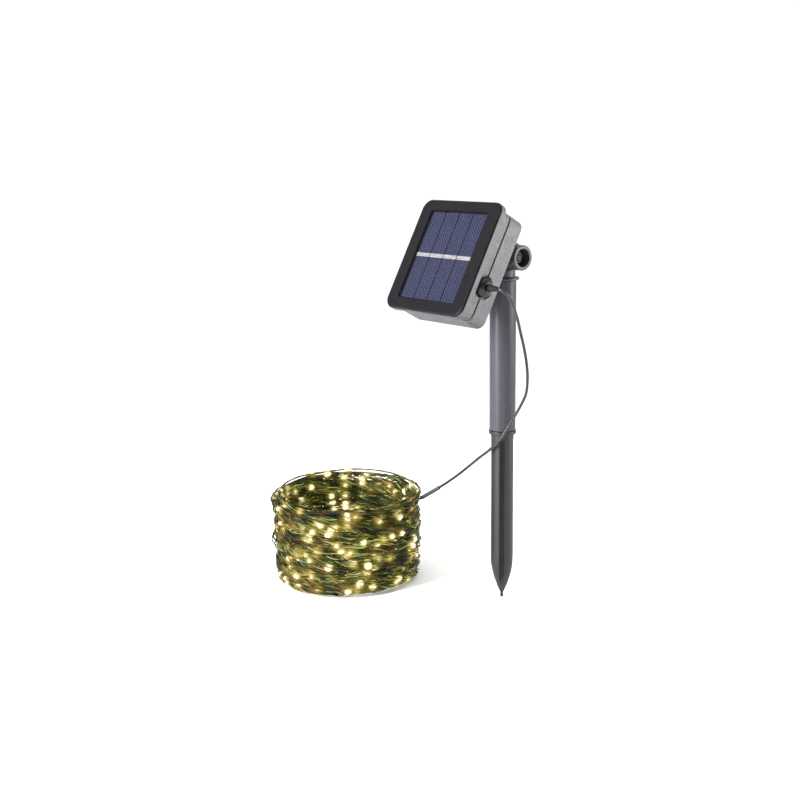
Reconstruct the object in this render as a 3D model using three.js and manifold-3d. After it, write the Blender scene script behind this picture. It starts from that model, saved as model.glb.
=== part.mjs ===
// Solar string lights: a tilting solar panel on a ground stake, with a coiled string of lights.
// Millimetres, +Z up. The stake stands on the Z axis with its tip at the origin, and the panel faces -Y and up.
import * as THREE from 'three';
import { mergeVertices } from 'three/addons/utils/BufferGeometryUtils.js';
import Module from 'manifold-3d';

const wasm = await Module();
wasm.setup();

// ---------------------------------------------------------------- driving dimensions
const GAP = 0.3;                      // clearance between neighbouring pieces
const PANEL_TILT = 29;                // degrees the panel leans back from vertical
const PIVOT_HEIGHT = 294;             // tilt axis above the spike's tip
const FACE_FROM_PIVOT = 60.5;         // panel face in front of the tilt axis
const CENTRE_BELOW_PIVOT = 27.5;      // panel centre below the tilt axis, along the panel

const PANEL_WIDTH = 91;
const PANEL_HEIGHT = 95;
const FLANGE_DEPTH = 6.4;             // thickness of the wider front frame
const BODY_WIDTH = 81;
const BODY_HEIGHT = 90.6;
const SEAM_DEPTH = 16.95;             // middle of the joint between the two shells
const BODY_DEPTH = 32.5;
const WALL = 2.2;
const CELL_AREA_WIDTH = 63;
const CELL_AREA_HEIGHT = 74;
const CELL_COUNT = 4;

const BARREL_RADIUS = 10.2;           // hinge barrel, knuckle and stake neck
const BARREL_HALF_LENGTH = 23;
const TUBE_RADIUS = 11;
const TUBE_WALL = 1.3;
const LOWER_COLLAR_TOP = 149;
const UPPER_COLLAR_BOTTOM = 275;
const SPIKE_RADIUS = 9.6;

const LEAD_RADIUS = 1.2;
const COIL_CENTRE = [-134, -65];
const COIL_OUTER_RADIUS = 66;
const COIL_INNER_RADIUS = 54;
const COIL_HEIGHT = 86;

// ---------------------------------------------------------------- geometry helpers
const CORNER_STEPS = 5;

// Merged, indexed copy with no zero-area faces and every face pointing out.
function closedMesh(geometry) {
  const bare = geometry.clone();
  bare.deleteAttribute('normal');
  bare.deleteAttribute('uv');
  const merged = mergeVertices(bare, 1e-4);
  const source = merged.index.array;
  const position = merged.attributes.position;
  const corner = [new THREE.Vector3(), new THREE.Vector3(), new THREE.Vector3()];
  const kept = [];
  let volume = 0;
  for (let i = 0; i < source.length; i += 3) {
    const [a, b, c] = [source[i], source[i + 1], source[i + 2]];
    if (a === b || b === c || c === a) continue;
    kept.push(a, b, c);
    corner[0].fromBufferAttribute(position, a);
    corner[1].fromBufferAttribute(position, b);
    corner[2].fromBufferAttribute(position, c);
    volume += corner[0].dot(corner[1].clone().cross(corner[2]));
  }
  if (volume < 0) kept.reverse();
  merged.setIndex(kept);
  return merged;
}

function toManifold(geometry) {
  const mesh = closedMesh(geometry);
  return new wasm.Manifold(new wasm.Mesh({
    numProp: 3,
    vertProperties: new Float32Array(mesh.attributes.position.array),
    triVerts: new Uint32Array(mesh.index.array),
  }));
}

function fromManifold(solid) {
  const mesh = solid.getMesh();
  const geometry = new THREE.BufferGeometry();
  geometry.setAttribute('position', new THREE.BufferAttribute(new Float32Array(mesh.vertProperties), 3));
  geometry.setIndex(Array.from(mesh.triVerts));
  return geometry;
}

// The first solid with the others joined on, then the cutters taken away.
function carve(base, joined, cutters) {
  let solid = toManifold(base);
  for (const piece of joined) solid = solid.add(toManifold(piece));
  for (const cutter of cutters) solid = solid.subtract(toManifold(cutter));
  return fromManifold(solid);
}

// Corner-rounded rectangle as a list of [x, y], anticlockwise.
function roundedOutline(halfWidth, halfHeight, radius) {
  const points = [];
  const corners = [[1, 1, 0], [-1, 1, 90], [-1, -1, 180], [1, -1, 270]];
  for (const [sx, sy, start] of corners) {
    for (let i = 0; i <= CORNER_STEPS; i += 1) {
      const angle = THREE.MathUtils.degToRad(start + (90 * i) / CORNER_STEPS);
      points.push([
        sx * (halfWidth - radius) + radius * Math.cos(angle),
        sy * (halfHeight - radius) + radius * Math.sin(angle),
      ]);
    }
  }
  return points;
}

// Solid through a stack of rounded rectangles {z, w, h, r}: w and h are full sizes.
function loft(levels) {
  const vertices = [];
  const faces = [];
  const count = 4 * (CORNER_STEPS + 1);
  for (const level of levels) {
    for (const [x, y] of roundedOutline(level.w / 2, level.h / 2, level.r)) vertices.push(x, y, level.z);
  }
  for (let ring = 0; ring + 1 < levels.length; ring += 1) {
    for (let i = 0; i < count; i += 1) {
      const a = ring * count + i;
      const b = ring * count + ((i + 1) % count);
      faces.push(a, b, b + count, a, b + count, a + count);
    }
  }
  const last = (levels.length - 1) * count;
  for (let i = 1; i + 1 < count; i += 1) {
    faces.push(0, i + 1, i);
    faces.push(last, last + i, last + i + 1);
  }
  const geometry = new THREE.BufferGeometry();
  geometry.setAttribute('position', new THREE.BufferAttribute(new Float32Array(vertices), 3));
  geometry.setIndex(faces);
  return geometry;
}

function block(width, height, depth, x, y, z, radius = 0.4) {
  const size = { w: width, h: height, r: radius };
  return loft([{ z: z - depth / 2, ...size }, { z: z + depth / 2, ...size }]).translate(x, y, 0);
}

// Solid of revolution about Z from [radius, z] points.
function turned(profile, segments = 24) {
  const points = profile.map(([radius, z]) => new THREE.Vector2(radius, z));
  return new THREE.LatheGeometry(points, segments).rotateX(Math.PI / 2);
}

function cylinder(radius, z0, z1, segments = 24) {
  return turned([[0, z0], [radius, z0], [radius, z1], [0, z1]], segments);
}

function pipe(outer, inner, z0, z1, segments = 24) {
  return turned([[inner, z0], [outer, z0], [outer, z1], [inner, z1], [inner, z0]], segments);
}

// Turns something built along Z so that it lies along X.
function alongX(geometry) {
  return geometry.rotateY(Math.PI / 2);
}

function prism(sides, acrossFlats, z0, z1) {
  const radius = acrossFlats / 2 / Math.cos(Math.PI / sides);
  return cylinder(radius, z0, z1, sides);
}

// Round tube along a list of points.
function tubeAlong(points, radius, steps, sides = 8) {
  const curve = new THREE.CatmullRomCurve3(points.map((p) => new THREE.Vector3(...p)), false, 'centripetal');
  const section = new THREE.Shape();
  for (let i = 0; i < sides; i += 1) {
    const angle = (2 * Math.PI * i) / sides;
    const [x, y] = [radius * Math.cos(angle), radius * Math.sin(angle)];
    if (i === 0) section.moveTo(x, y);
    else section.lineTo(x, y);
  }
  section.closePath();
  return new THREE.ExtrudeGeometry(section, { extrudePath: curve, steps, curveSegments: 1 });
}

// ---------------------------------------------------------------- materials
function plain(color, roughness, metalness = 0) {
  return new THREE.MeshStandardMaterial({ color, roughness, metalness });
}

const materials = {
  shell: () => plain(0x4a494e, 0.6),
  darkShell: () => plain(0x3a393e, 0.6),
  rubber: () => plain(0x1b1b1d, 0.85),
  cell: () => plain(0x2c2f5e, 0.35),
  cellBoard: () => plain(0x15162c, 0.5),
  ribbon: () => plain(0xc9c6c0, 0.35, 1),
  resin: () => plain(0x30303a, 0.2),
  steel: () => plain(0xb4b4b8, 0.35, 1),
  board: () => plain(0x1f5a34, 0.6),
  chip: () => plain(0x202022, 0.5),
  battery: () => plain(0x2f6a4c, 0.4),
  wireRed: () => plain(0x9c2420, 0.5),
  wireBlack: () => plain(0x1c1c1c, 0.5),
  lead: () => plain(0x5a645f, 0.5),
  lights: () => plain(0x4c5a34, 0.5),
};

const group = new THREE.Group();

function addNode(name, geometry, material) {
  const mesh = new THREE.Mesh(closedMesh(geometry), material);
  mesh.geometry.computeVertexNormals();
  mesh.name = name;
  group.add(mesh);
}

// ---------------------------------------------------------------- the panel's own frame
// x across the panel, y up along it, z out of its face; z is zero on the face and negative behind it.
const tilt = THREE.MathUtils.degToRad(PANEL_TILT);
const panelFrame = new THREE.Matrix4()
  .makeTranslation(0, 0, PIVOT_HEIGHT)
  .multiply(new THREE.Matrix4().makeRotationX(Math.PI / 2 - tilt))
  .multiply(new THREE.Matrix4().makeTranslation(0, -CENTRE_BELOW_PIVOT, FACE_FROM_PIVOT));

function addToPanel(name, geometry, material) {
  addNode(name, geometry.applyMatrix4(panelFrame), material);
}

// ---------------------------------------------------------------- solar cells and their window
const CELL_MARGIN = 0.9;              // window and backing board beyond the cells, on each side
const LAMINATE_WIDTH = CELL_AREA_WIDTH + 2 * CELL_MARGIN;
const LAMINATE_HEIGHT = CELL_AREA_HEIGHT + 2 * CELL_MARGIN;
const WINDOW = { front: -0.1, back: -0.9 };
const RIBBON = { front: -1.2, back: -1.5, height: 3.2 };
const CELL = { front: -1.8, back: -2.2 };
const BACKPLATE = { front: -2.5, back: -3.7 };
const POCKET_FLOOR = -4.0;
const CELL_PITCH = CELL_AREA_WIDTH / CELL_COUNT;
const CELL_WIDTH = CELL_PITCH - 0.8;

function slab(width, height, front, back, x, radius) {
  return block(width, height, front - back, x, 0, (front + back) / 2, radius);
}

function addSolarLaminate() {
  const corner = 0.8;
  addToPanel(
    'panel_window',
    slab(LAMINATE_WIDTH, LAMINATE_HEIGHT, WINDOW.front, WINDOW.back, 0, corner),
    materials.resin(),
  );
  addToPanel(
    'solar_backplate',
    slab(LAMINATE_WIDTH, LAMINATE_HEIGHT, BACKPLATE.front, BACKPLATE.back, 0, corner),
    materials.cellBoard(),
  );
  for (let i = 0; i < CELL_COUNT; i += 1) {
    const x = (i - (CELL_COUNT - 1) / 2) * CELL_PITCH;
    const cell = slab(CELL_WIDTH, CELL_AREA_HEIGHT, CELL.front, CELL.back, x, 0.2);
    addToPanel(`solar_cell_${i + 1}`, cell, materials.cell());
    addToPanel(
      `cell_ribbon_${i + 1}`,
      slab(CELL_WIDTH + 0.1, RIBBON.height, RIBBON.front, RIBBON.back, x, 0.2),
      materials.ribbon(),
    );
  }
}

// ---------------------------------------------------------------- housing
const CORNER_RADIUS = 9;
const BODY_CORNER_RADIUS = 7;
const CAVITY = { w: BODY_WIDTH - 2 * WALL, h: BODY_HEIGHT - 2 * WALL, r: BODY_CORNER_RADIUS - WALL };
const CAVITY_FRONT = -6.2;
const CAVITY_BACK = -BODY_DEPTH + WALL;
const SEAM_HALF = 0.65;
const FRONT_SHELL_BACK = -SEAM_DEPTH + SEAM_HALF;
const REAR_SHELL_FRONT = -SEAM_DEPTH - SEAM_HALF;
const POST = { x: 34.6, y: 39.3, radius: 3.3 };
const SCREW = { shank: 1.3, head: 2.5, headFront: -29.9, headBack: -31.9, tip: -8.8 };
const GLAND = { y: -16, z: -17, flange: 8, shank: 5.6, recessRadius: 9.4, recessDepth: 1.6 };

const BUTTON = { x: 10, y: -6, hole: 4.3, cap: 4.0, collar: 5.2 };

const BRACKET = { width: 46, height: 29, thickness: 3, screwX: 18.5, screwY: 9.5 };
const BRACKET_SCREW = { shank: 1.45, hole: 1.75, head: 2.7, headHeight: 1.9 };
const BRACKET_FRONT = -BODY_DEPTH - GAP;
const BRACKET_BACK = BRACKET_FRONT - BRACKET.thickness;

function corners(x, y) {
  return [[x, y], [-x, y], [-x, -y], [x, -y]];
}

function frontShell() {
  const flange = loft([
    { z: 0, w: PANEL_WIDTH - 3, h: PANEL_HEIGHT - 3, r: CORNER_RADIUS - 1.5 },
    { z: -0.5, w: PANEL_WIDTH - 0.9, h: PANEL_HEIGHT - 0.9, r: CORNER_RADIUS - 0.4 },
    { z: -1.6, w: PANEL_WIDTH, h: PANEL_HEIGHT, r: CORNER_RADIUS },
    { z: -FLANGE_DEPTH + 0.6, w: PANEL_WIDTH, h: PANEL_HEIGHT, r: CORNER_RADIUS },
    { z: -FLANGE_DEPTH, w: PANEL_WIDTH - 1.2, h: PANEL_HEIGHT - 1.2, r: CORNER_RADIUS - 0.6 },
  ]);
  const body = loft([
    { z: -FLANGE_DEPTH + 1, w: BODY_WIDTH, h: BODY_HEIGHT, r: BODY_CORNER_RADIUS },
    { z: FRONT_SHELL_BACK, w: BODY_WIDTH, h: BODY_HEIGHT, r: BODY_CORNER_RADIUS },
  ]);
  const cavity = loft([{ z: CAVITY_FRONT, ...CAVITY }, { z: FRONT_SHELL_BACK - 1, ...CAVITY }]);
  const pocketSize = {
    w: LAMINATE_WIDTH + 2 * GAP,
    h: LAMINATE_HEIGHT + 2 * GAP,
    r: 1.2,
  };
  const pocket = loft([{ z: 1, ...pocketSize }, { z: POCKET_FLOOR, ...pocketSize }]);
  const posts = corners(POST.x, POST.y).map(([x, y]) =>
    cylinder(POST.radius, FRONT_SHELL_BACK, CAVITY_FRONT + 0.5, 14).translate(x, y, 0));
  const bores = corners(POST.x, POST.y).map(([x, y]) =>
    cylinder(SCREW.shank + GAP, FRONT_SHELL_BACK - 1, SCREW.tip + 0.4, 10).translate(x, y, 0));
  return fromManifold(
    toManifold(carve(flange, [body], [cavity, pocket]))
      .add(toManifold(carve(posts[0], posts.slice(1), [])))
      .subtract(toManifold(carve(bores[0], bores.slice(1), [])))
      .subtract(toManifold(glandCutter())),
  );
}

function rearShell() {
  const body = loft([
    { z: REAR_SHELL_FRONT, w: BODY_WIDTH, h: BODY_HEIGHT, r: BODY_CORNER_RADIUS },
    { z: -BODY_DEPTH + 2.4, w: BODY_WIDTH, h: BODY_HEIGHT, r: BODY_CORNER_RADIUS },
    { z: -BODY_DEPTH + 0.7, w: BODY_WIDTH - 1.4, h: BODY_HEIGHT - 1.4, r: BODY_CORNER_RADIUS - 0.7 },
    { z: -BODY_DEPTH, w: BODY_WIDTH - 4.6, h: BODY_HEIGHT - 4.6, r: BODY_CORNER_RADIUS - 2.3 },
  ]);
  const cavity = loft([{ z: REAR_SHELL_FRONT + 1, ...CAVITY }, { z: CAVITY_BACK, ...CAVITY }]);
  const posts = corners(POST.x, POST.y).map(([x, y]) =>
    cylinder(POST.radius, CAVITY_BACK - 0.5, REAR_SHELL_FRONT, 14).translate(x, y, 0));
  const bores = corners(POST.x, POST.y).flatMap(([x, y]) => [
    cylinder(SCREW.shank + GAP, -BODY_DEPTH, 0, 10).translate(x, y, 0),
    cylinder(SCREW.head + GAP, -BODY_DEPTH - 1, SCREW.headFront + GAP, 14).translate(x, y, 0),
  ]);
  const buttonHoles = [-1, 1].map((side) =>
    cylinder(BUTTON.hole, -BODY_DEPTH - 1, CAVITY_BACK + 1, 20).translate(side * BUTTON.x, BUTTON.y, 0));
  const bracketHoles = corners(BRACKET.screwX, BRACKET.screwY).map(([x, y]) =>
    cylinder(BRACKET_SCREW.hole, -BODY_DEPTH - 1, CAVITY_BACK + 1, 10).translate(x, CENTRE_BELOW_PIVOT + y, 0));
  let shell = toManifold(carve(body, [], [cavity]));
  for (const post of posts) shell = shell.add(toManifold(post));
  for (const cutter of [...bores, ...buttonHoles, ...bracketHoles, glandCutter()]) {
    shell = shell.subtract(toManifold(cutter));
  }
  return fromManifold(shell);
}

// Round opening in the side wall for the cable gland, with a shallow recess around its dome.
function glandCutter() {
  const side = BODY_WIDTH / 2;
  const profile = [
    [0, side - 6],
    [GLAND.shank + GAP, side - 6],
    [GLAND.shank + GAP, side - GLAND.recessDepth],
    [GLAND.recessRadius, side - GLAND.recessDepth],
    [GLAND.recessRadius, side + 2],
    [0, side + 2],
  ];
  return alongX(turned(profile, 20)).translate(0, GLAND.y, GLAND.z);
}

function housingGasket() {
  const outer = { w: BODY_WIDTH - 1.2, h: BODY_HEIGHT - 1.2, r: BODY_CORNER_RADIUS - 0.6 };
  const front = -SEAM_DEPTH + SEAM_HALF - GAP;
  const back = -SEAM_DEPTH - SEAM_HALF + GAP;
  const plate = loft([{ z: back, ...outer }, { z: front, ...outer }]);
  const opening = loft([{ z: back - 1, ...CAVITY }, { z: front + 1, ...CAVITY }]);
  return carve(plate, [], [opening, glandCutter()]);
}

function screw(head, shank, headBack, headFront, tip) {
  return turned([[0, headBack], [head, headBack], [head, headFront], [shank, headFront], [shank, tip], [0, tip]], 14);
}

function addHousing() {
  addToPanel('front_shell', frontShell(), materials.darkShell());
  addToPanel('housing_gasket', housingGasket(), materials.rubber());
  addToPanel('rear_shell', rearShell(), materials.shell());
  corners(POST.x, POST.y).forEach(([x, y], i) => {
    const solid = screw(SCREW.head, SCREW.shank, SCREW.headBack, SCREW.headFront, SCREW.tip);
    addToPanel(`housing_screw_${i + 1}`, solid.translate(x, y, 0), materials.steel());
  });
}

// ---------------------------------------------------------------- cable gland
const STRAIN_RELIEF = { start: 5.3, end: 15, wide: 2.9, narrow: 1.6 };

function addGland() {
  const side = BODY_WIDTH / 2;
  const inside = side - WALL - GAP;
  const seat = side - GLAND.recessDepth + GAP;
  const lip = { radius: 7.2, thickness: 1.4 };
  const dome = [
    [0, inside - lip.thickness],
    [lip.radius, inside - lip.thickness],
    [lip.radius, inside],
    [GLAND.shank, inside],
    [GLAND.shank, seat],
    [GLAND.flange, seat],
    [7.6, side + 1.6],
    [6.3, side + 3.4],
    [4.4, side + 4.6],
    [2.9, side + 5.0],
    [0, side + 5.0],
  ];
  addToPanel('cable_gland', alongX(turned(dome, 20)).translate(0, GLAND.y, GLAND.z), materials.darkShell());
  const sleeve = [
    [0, side + STRAIN_RELIEF.start],
    [STRAIN_RELIEF.wide, side + STRAIN_RELIEF.start],
    [2.3, side + 9],
    [STRAIN_RELIEF.narrow, side + STRAIN_RELIEF.end],
    [0, side + STRAIN_RELIEF.end],
  ];
  addToPanel('strain_relief', alongX(turned(sleeve, 16)).translate(0, GLAND.y, GLAND.z), materials.rubber());
}

// ---------------------------------------------------------------- battery, circuit board and switches
const BATTERY = { y: -30, z: -19.6, radius: 7.1, halfLength: 24, buttonRadius: 2.8 };
const HOLDER = { halfLength: 31, height: 18.4, depth: 14.6, z: -15.6, endWall: 2, clearance: 0.4 };
const BOARD = { width: 52, height: 28, y: 4, front: -22.6, back: -24.2 };

function addBattery() {
  const holderBody = block(2 * HOLDER.halfLength, HOLDER.height, HOLDER.depth, 0, BATTERY.y, HOLDER.z);
  const room = { radius: BATTERY.radius + HOLDER.clearance, half: HOLDER.halfLength - HOLDER.endWall };
  const trough = alongX(cylinder(room.radius, -room.half, room.half)).translate(0, BATTERY.y, BATTERY.z);
  const mouth = block(2 * room.half, 2 * room.radius, 14, 0, BATTERY.y, BATTERY.z - 7);
  addToPanel('battery_holder', carve(holderBody, [], [trough, mouth]), materials.chip());
  const cell = [
    [0, -BATTERY.halfLength],
    [6.6, -BATTERY.halfLength],
    [BATTERY.radius, -BATTERY.halfLength + 0.5],
    [BATTERY.radius, BATTERY.halfLength - 2],
    [6.4, BATTERY.halfLength - 1.2],
    [BATTERY.buttonRadius, BATTERY.halfLength - 1.2],
    [BATTERY.buttonRadius, BATTERY.halfLength],
    [0, BATTERY.halfLength],
  ];
  addToPanel('battery_cell', alongX(turned(cell)).translate(0, BATTERY.y, BATTERY.z), materials.battery());
  const contact = alongX(prism(4, 9, BATTERY.halfLength + 1.4, BATTERY.halfLength + 2));
  const bump = alongX(turned([[0, 24.3], [1.6, 24.3], [2.4, 25.6], [0, 25.6]], 14));
  addToPanel('battery_contact', carve(contact, [bump], []).translate(0, BATTERY.y, BATTERY.z), materials.steel());
  const spring = alongX(turned([[0, -28.6], [5.6, -28.6], [5.2, -27.6], [2.6, -24.4], [0, -24.4]], 16));
  addToPanel('battery_spring', spring.translate(0, BATTERY.y, BATTERY.z), materials.steel());
}

function addCircuitBoard() {
  const thickness = BOARD.front - BOARD.back;
  const board = block(BOARD.width, BOARD.height, thickness, 0, BOARD.y, (BOARD.front + BOARD.back) / 2);
  addToPanel('circuit_board', board, materials.board());
  const seat = BOARD.back - GAP;
  const chip = block(5, 4, 1.6, 0, 8, seat - 0.8);
  addToPanel('controller_chip', chip, materials.chip());
  const inductor = cylinder(3.4, seat - 4.2, seat, 16).translate(-18, 9, 0);
  addToPanel('inductor', inductor, materials.chip());
  const capacitor = cylinder(2.5, seat - 4.8, seat, 16).translate(18, 9, 0);
  addToPanel('capacitor', capacitor, materials.battery());
  const names = ['power_switch', 'mode_switch'];
  names.forEach((name, i) => {
    const x = (i === 0 ? -1 : 1) * BUTTON.x;
    const body = block(6, 6, 3, x, BUTTON.y, seat - 1.5);
    const plunger = cylinder(1.7, seat - 3.8, seat - 1, 12).translate(x, BUTTON.y, 0);
    addToPanel(name, carve(body, [plunger], []), materials.chip());
  });
}

function addSolarWires() {
  const runs = [['solar_wire_plus', 20, materials.wireRed()], ['solar_wire_minus', -20, materials.wireBlack()]];
  for (const [name, x, material] of runs) {
    const route = [[x, 26, -7.4], [x, 25, -10], [x, 19, -14], [x, 12, -17.5], [x, 10, -22.2]];
    addToPanel(name, tubeAlong(route, 0.8, 8), material);
  }
}

function addButtons() {
  const names = ['power_button', 'mode_button'];
  names.forEach((name, i) => {
    const side = i === 0 ? -1 : 1;
    const inner = CAVITY_BACK + GAP;
    const profile = [
      [0, inner + 0.7],
      [BUTTON.collar, inner + 0.7],
      [BUTTON.collar, inner],
      [BUTTON.cap, inner],
      [BUTTON.cap, -BODY_DEPTH - 0.7],
      [BUTTON.cap - 0.8, -BODY_DEPTH - 1.3],
      [0, -BODY_DEPTH - 1.5],
    ];
    addToPanel(name, turned(profile, 20).translate(side * BUTTON.x, BUTTON.y, 0), materials.rubber());
  });
}

// ---------------------------------------------------------------- tilt bracket and its hinge bolt
const EAR = { inner: 8.5, outer: 15.5 };
const RECESS = { radius: 7.2, floor: 13 };
const BOLT = { radius: 2.5, headRadius: 4.6, headLength: 3.6 };
const WASHER = { radius: 6.4, thickness: 1 };

// One ear's side outline: the hinge barrel's circle with straight sides down to the base plate.
function earOutline() {
  const base = BRACKET_BACK + FACE_FROM_PIVOT + 0.5;
  const half = 12;
  const reach = Math.hypot(half, base);
  const tangent = Math.acos(BARREL_RADIUS / reach);
  const toCorner = Math.atan2(half, base);
  const start = toCorner + tangent;
  const steps = 10;
  const shape = new THREE.Shape();
  shape.moveTo(base, -half);
  shape.lineTo(base, half);
  for (let i = 0; i <= steps; i += 1) {
    const angle = start + ((2 * Math.PI - 2 * start) * i) / steps;
    shape.lineTo(BARREL_RADIUS * Math.cos(angle), BARREL_RADIUS * Math.sin(angle));
  }
  shape.closePath();
  return shape;
}

// Everything here is drawn about the tilt axis: x along it, y up along the panel, z towards the panel's face.
function panelBracket() {
  const plateMiddle = (BRACKET_FRONT + BRACKET_BACK) / 2 + FACE_FROM_PIVOT;
  const plate = block(BRACKET.width, BRACKET.height, BRACKET.thickness, 0, 0, plateMiddle, 3);
  let solid = toManifold(plate);
  for (const side of [-1, 1]) {
    const ear = new THREE.ExtrudeGeometry(earOutline(), { depth: EAR.outer - EAR.inner, bevelEnabled: false });
    ear.rotateY(-Math.PI / 2).translate(side > 0 ? EAR.outer : -EAR.inner, 0, 0);
    const profile = [
      [0, EAR.inner],
      [BARREL_RADIUS, EAR.inner],
      [BARREL_RADIUS, 17.4],
      [BARREL_RADIUS - 0.9, 17.7],
      [BARREL_RADIUS - 0.9, 18.9],
      [BARREL_RADIUS, 19.2],
      [BARREL_RADIUS, BARREL_HALF_LENGTH - 0.5],
      [BARREL_RADIUS - 0.5, BARREL_HALF_LENGTH],
      [0, BARREL_HALF_LENGTH],
    ];
    const boss = alongX(turned(profile.map(([r, z]) => [r, side * z]), 24));
    const recess = alongX(cylinder(RECESS.radius, side * RECESS.floor, side * (BARREL_HALF_LENGTH + 1), 20));
    const bore = alongX(cylinder(BOLT.radius + GAP, side * (EAR.inner - 1), side * (RECESS.floor + 1), 12));
    solid = solid.add(toManifold(ear)).add(toManifold(boss));
    solid = solid.subtract(toManifold(recess)).subtract(toManifold(bore));
  }
  for (const [x, y] of corners(BRACKET.screwX, BRACKET.screwY)) {
    const hole = cylinder(BRACKET_SCREW.hole, plateMiddle - 3, plateMiddle + 3, 10);
    solid = solid.subtract(toManifold(hole.translate(x, y, 0)));
  }
  return fromManifold(solid);
}

function addBracket() {
  const toPanel = (geometry) => geometry.translate(0, CENTRE_BELOW_PIVOT, -FACE_FROM_PIVOT);
  addToPanel('panel_bracket', toPanel(panelBracket()), materials.shell());
  corners(BRACKET.screwX, BRACKET.screwY).forEach(([x, y], i) => {
    const under = BRACKET_BACK - GAP;
    const { head, shank, headHeight } = BRACKET_SCREW;
    const solid = screw(head, shank, under - headHeight, under, CAVITY_BACK + 1.6);
    addToPanel(`bracket_screw_${i + 1}`, solid.translate(x, CENTRE_BELOW_PIVOT + y, 0), materials.steel());
  });
  const headStart = -RECESS.floor - WASHER.thickness - 2 * GAP;
  const boltEnd = RECESS.floor + WASHER.thickness + 2 * GAP + 4;
  const bolt = turned([
    [0, headStart - BOLT.headLength],
    [BOLT.headRadius, headStart - BOLT.headLength],
    [BOLT.headRadius, headStart],
    [BOLT.radius, headStart],
    [BOLT.radius, boltEnd],
    [0, boltEnd],
  ], 18);
  addToPanel('tilt_bolt', toPanel(alongX(bolt)), materials.steel());
  const nutStart = RECESS.floor + WASHER.thickness + 2 * GAP;
  const nut = carve(prism(6, 8.6, nutStart, nutStart + 3.6), [], [cylinder(BOLT.radius + GAP, 0, 30, 18)]);
  addToPanel('tilt_nut', toPanel(alongX(nut)), materials.steel());
  [1, -1].forEach((side, i) => {
    const near = side * (RECESS.floor + GAP);
    const far = side * (RECESS.floor + GAP + WASHER.thickness);
    const washer = alongX(pipe(WASHER.radius, BOLT.radius + GAP, near, far));
    addToPanel(`tilt_washer_${i + 1}`, toPanel(washer), materials.steel());
  });
}

// ---------------------------------------------------------------- stake
const KNUCKLE_HALF = 8.2;
const PLUG_LENGTH = 18;
const PLUG_RADIUS = TUBE_RADIUS - TUBE_WALL - GAP;
const UPPER_COLLAR = { radius: 13.3, edge: 13, height: 2.2 };
const LOWER_COLLAR = { radius: 11.5, edge: 11.1, height: 3.2 };
const SLOT = { width: 4.2, floor: 4.6, depth: 12 };

function stakeHead() {
  const collarTop = UPPER_COLLAR_BOTTOM + UPPER_COLLAR.height;
  const stem = turned([
    [0, UPPER_COLLAR_BOTTOM - PLUG_LENGTH],
    [PLUG_RADIUS - 0.8, UPPER_COLLAR_BOTTOM - PLUG_LENGTH],
    [PLUG_RADIUS, UPPER_COLLAR_BOTTOM - PLUG_LENGTH + 1],
    [PLUG_RADIUS, UPPER_COLLAR_BOTTOM],
    [UPPER_COLLAR.edge, UPPER_COLLAR_BOTTOM],
    [UPPER_COLLAR.radius, UPPER_COLLAR_BOTTOM + UPPER_COLLAR.height / 2],
    [UPPER_COLLAR.edge, collarTop],
    [BARREL_RADIUS, collarTop],
    [BARREL_RADIUS, PIVOT_HEIGHT - BARREL_RADIUS - 2 * GAP],
    [KNUCKLE_HALF, PIVOT_HEIGHT - BARREL_RADIUS - GAP],
    [KNUCKLE_HALF, PIVOT_HEIGHT - 5],
    [0, PIVOT_HEIGHT - 5],
  ], 24);
  const knuckle = alongX(cylinder(BARREL_RADIUS, -KNUCKLE_HALF, KNUCKLE_HALF, 24)).translate(0, 0, PIVOT_HEIGHT);
  const bore = alongX(cylinder(BOLT.radius + GAP, -20, 20, 12)).translate(0, 0, PIVOT_HEIGHT);
  return carve(stem, [knuckle], [bore]);
}

function groundSpike() {
  const collarBottom = LOWER_COLLAR_TOP - LOWER_COLLAR.height;
  const taperStart = 36;
  const noseTop = 4.4;
  const noseRadius = 1.3;
  const profile = [[0, 0], [1.1, 0.5], [1.5, 1.6], [1.2, 3]];
  const steps = 6;
  for (let i = 0; i <= steps; i += 1) {
    const t = i / steps;
    const radius = noseRadius + (SPIKE_RADIUS - noseRadius) * Math.sin((Math.PI / 2) * t) ** 0.9;
    profile.push([radius, noseTop + (taperStart - noseTop) * t]);
  }
  profile.push(
    [SPIKE_RADIUS, collarBottom],
    [LOWER_COLLAR.edge, collarBottom],
    [LOWER_COLLAR.radius, collarBottom + 0.8],
    [LOWER_COLLAR.radius, LOWER_COLLAR_TOP - 0.6],
    [LOWER_COLLAR.edge, LOWER_COLLAR_TOP],
    [PLUG_RADIUS, LOWER_COLLAR_TOP],
    [PLUG_RADIUS, LOWER_COLLAR_TOP + PLUG_LENGTH - 1],
    [PLUG_RADIUS - 0.8, LOWER_COLLAR_TOP + PLUG_LENGTH],
    [0, LOWER_COLLAR_TOP + PLUG_LENGTH],
  );
  const [slotBottom, slotTop] = [3, collarBottom - 5];
  const slots = [45, 135, 225, 315].map((angle) => {
    const outward = SLOT.floor + SLOT.depth / 2;
    const slot = block(SLOT.depth, SLOT.width, slotTop - slotBottom, outward, 0, (slotTop + slotBottom) / 2, 0.3);
    return slot.rotateZ(THREE.MathUtils.degToRad(angle));
  });
  return carve(turned(profile, 24), [], slots);
}

function addStake() {
  addNode('stake_head', stakeHead(), materials.shell());
  const tube = pipe(TUBE_RADIUS, TUBE_RADIUS - TUBE_WALL, LOWER_COLLAR_TOP + GAP, UPPER_COLLAR_BOTTOM - GAP, 32);
  addNode('stake_tube', tube, materials.shell());
  addNode('ground_spike', groundSpike(), materials.darkShell());
}

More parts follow.
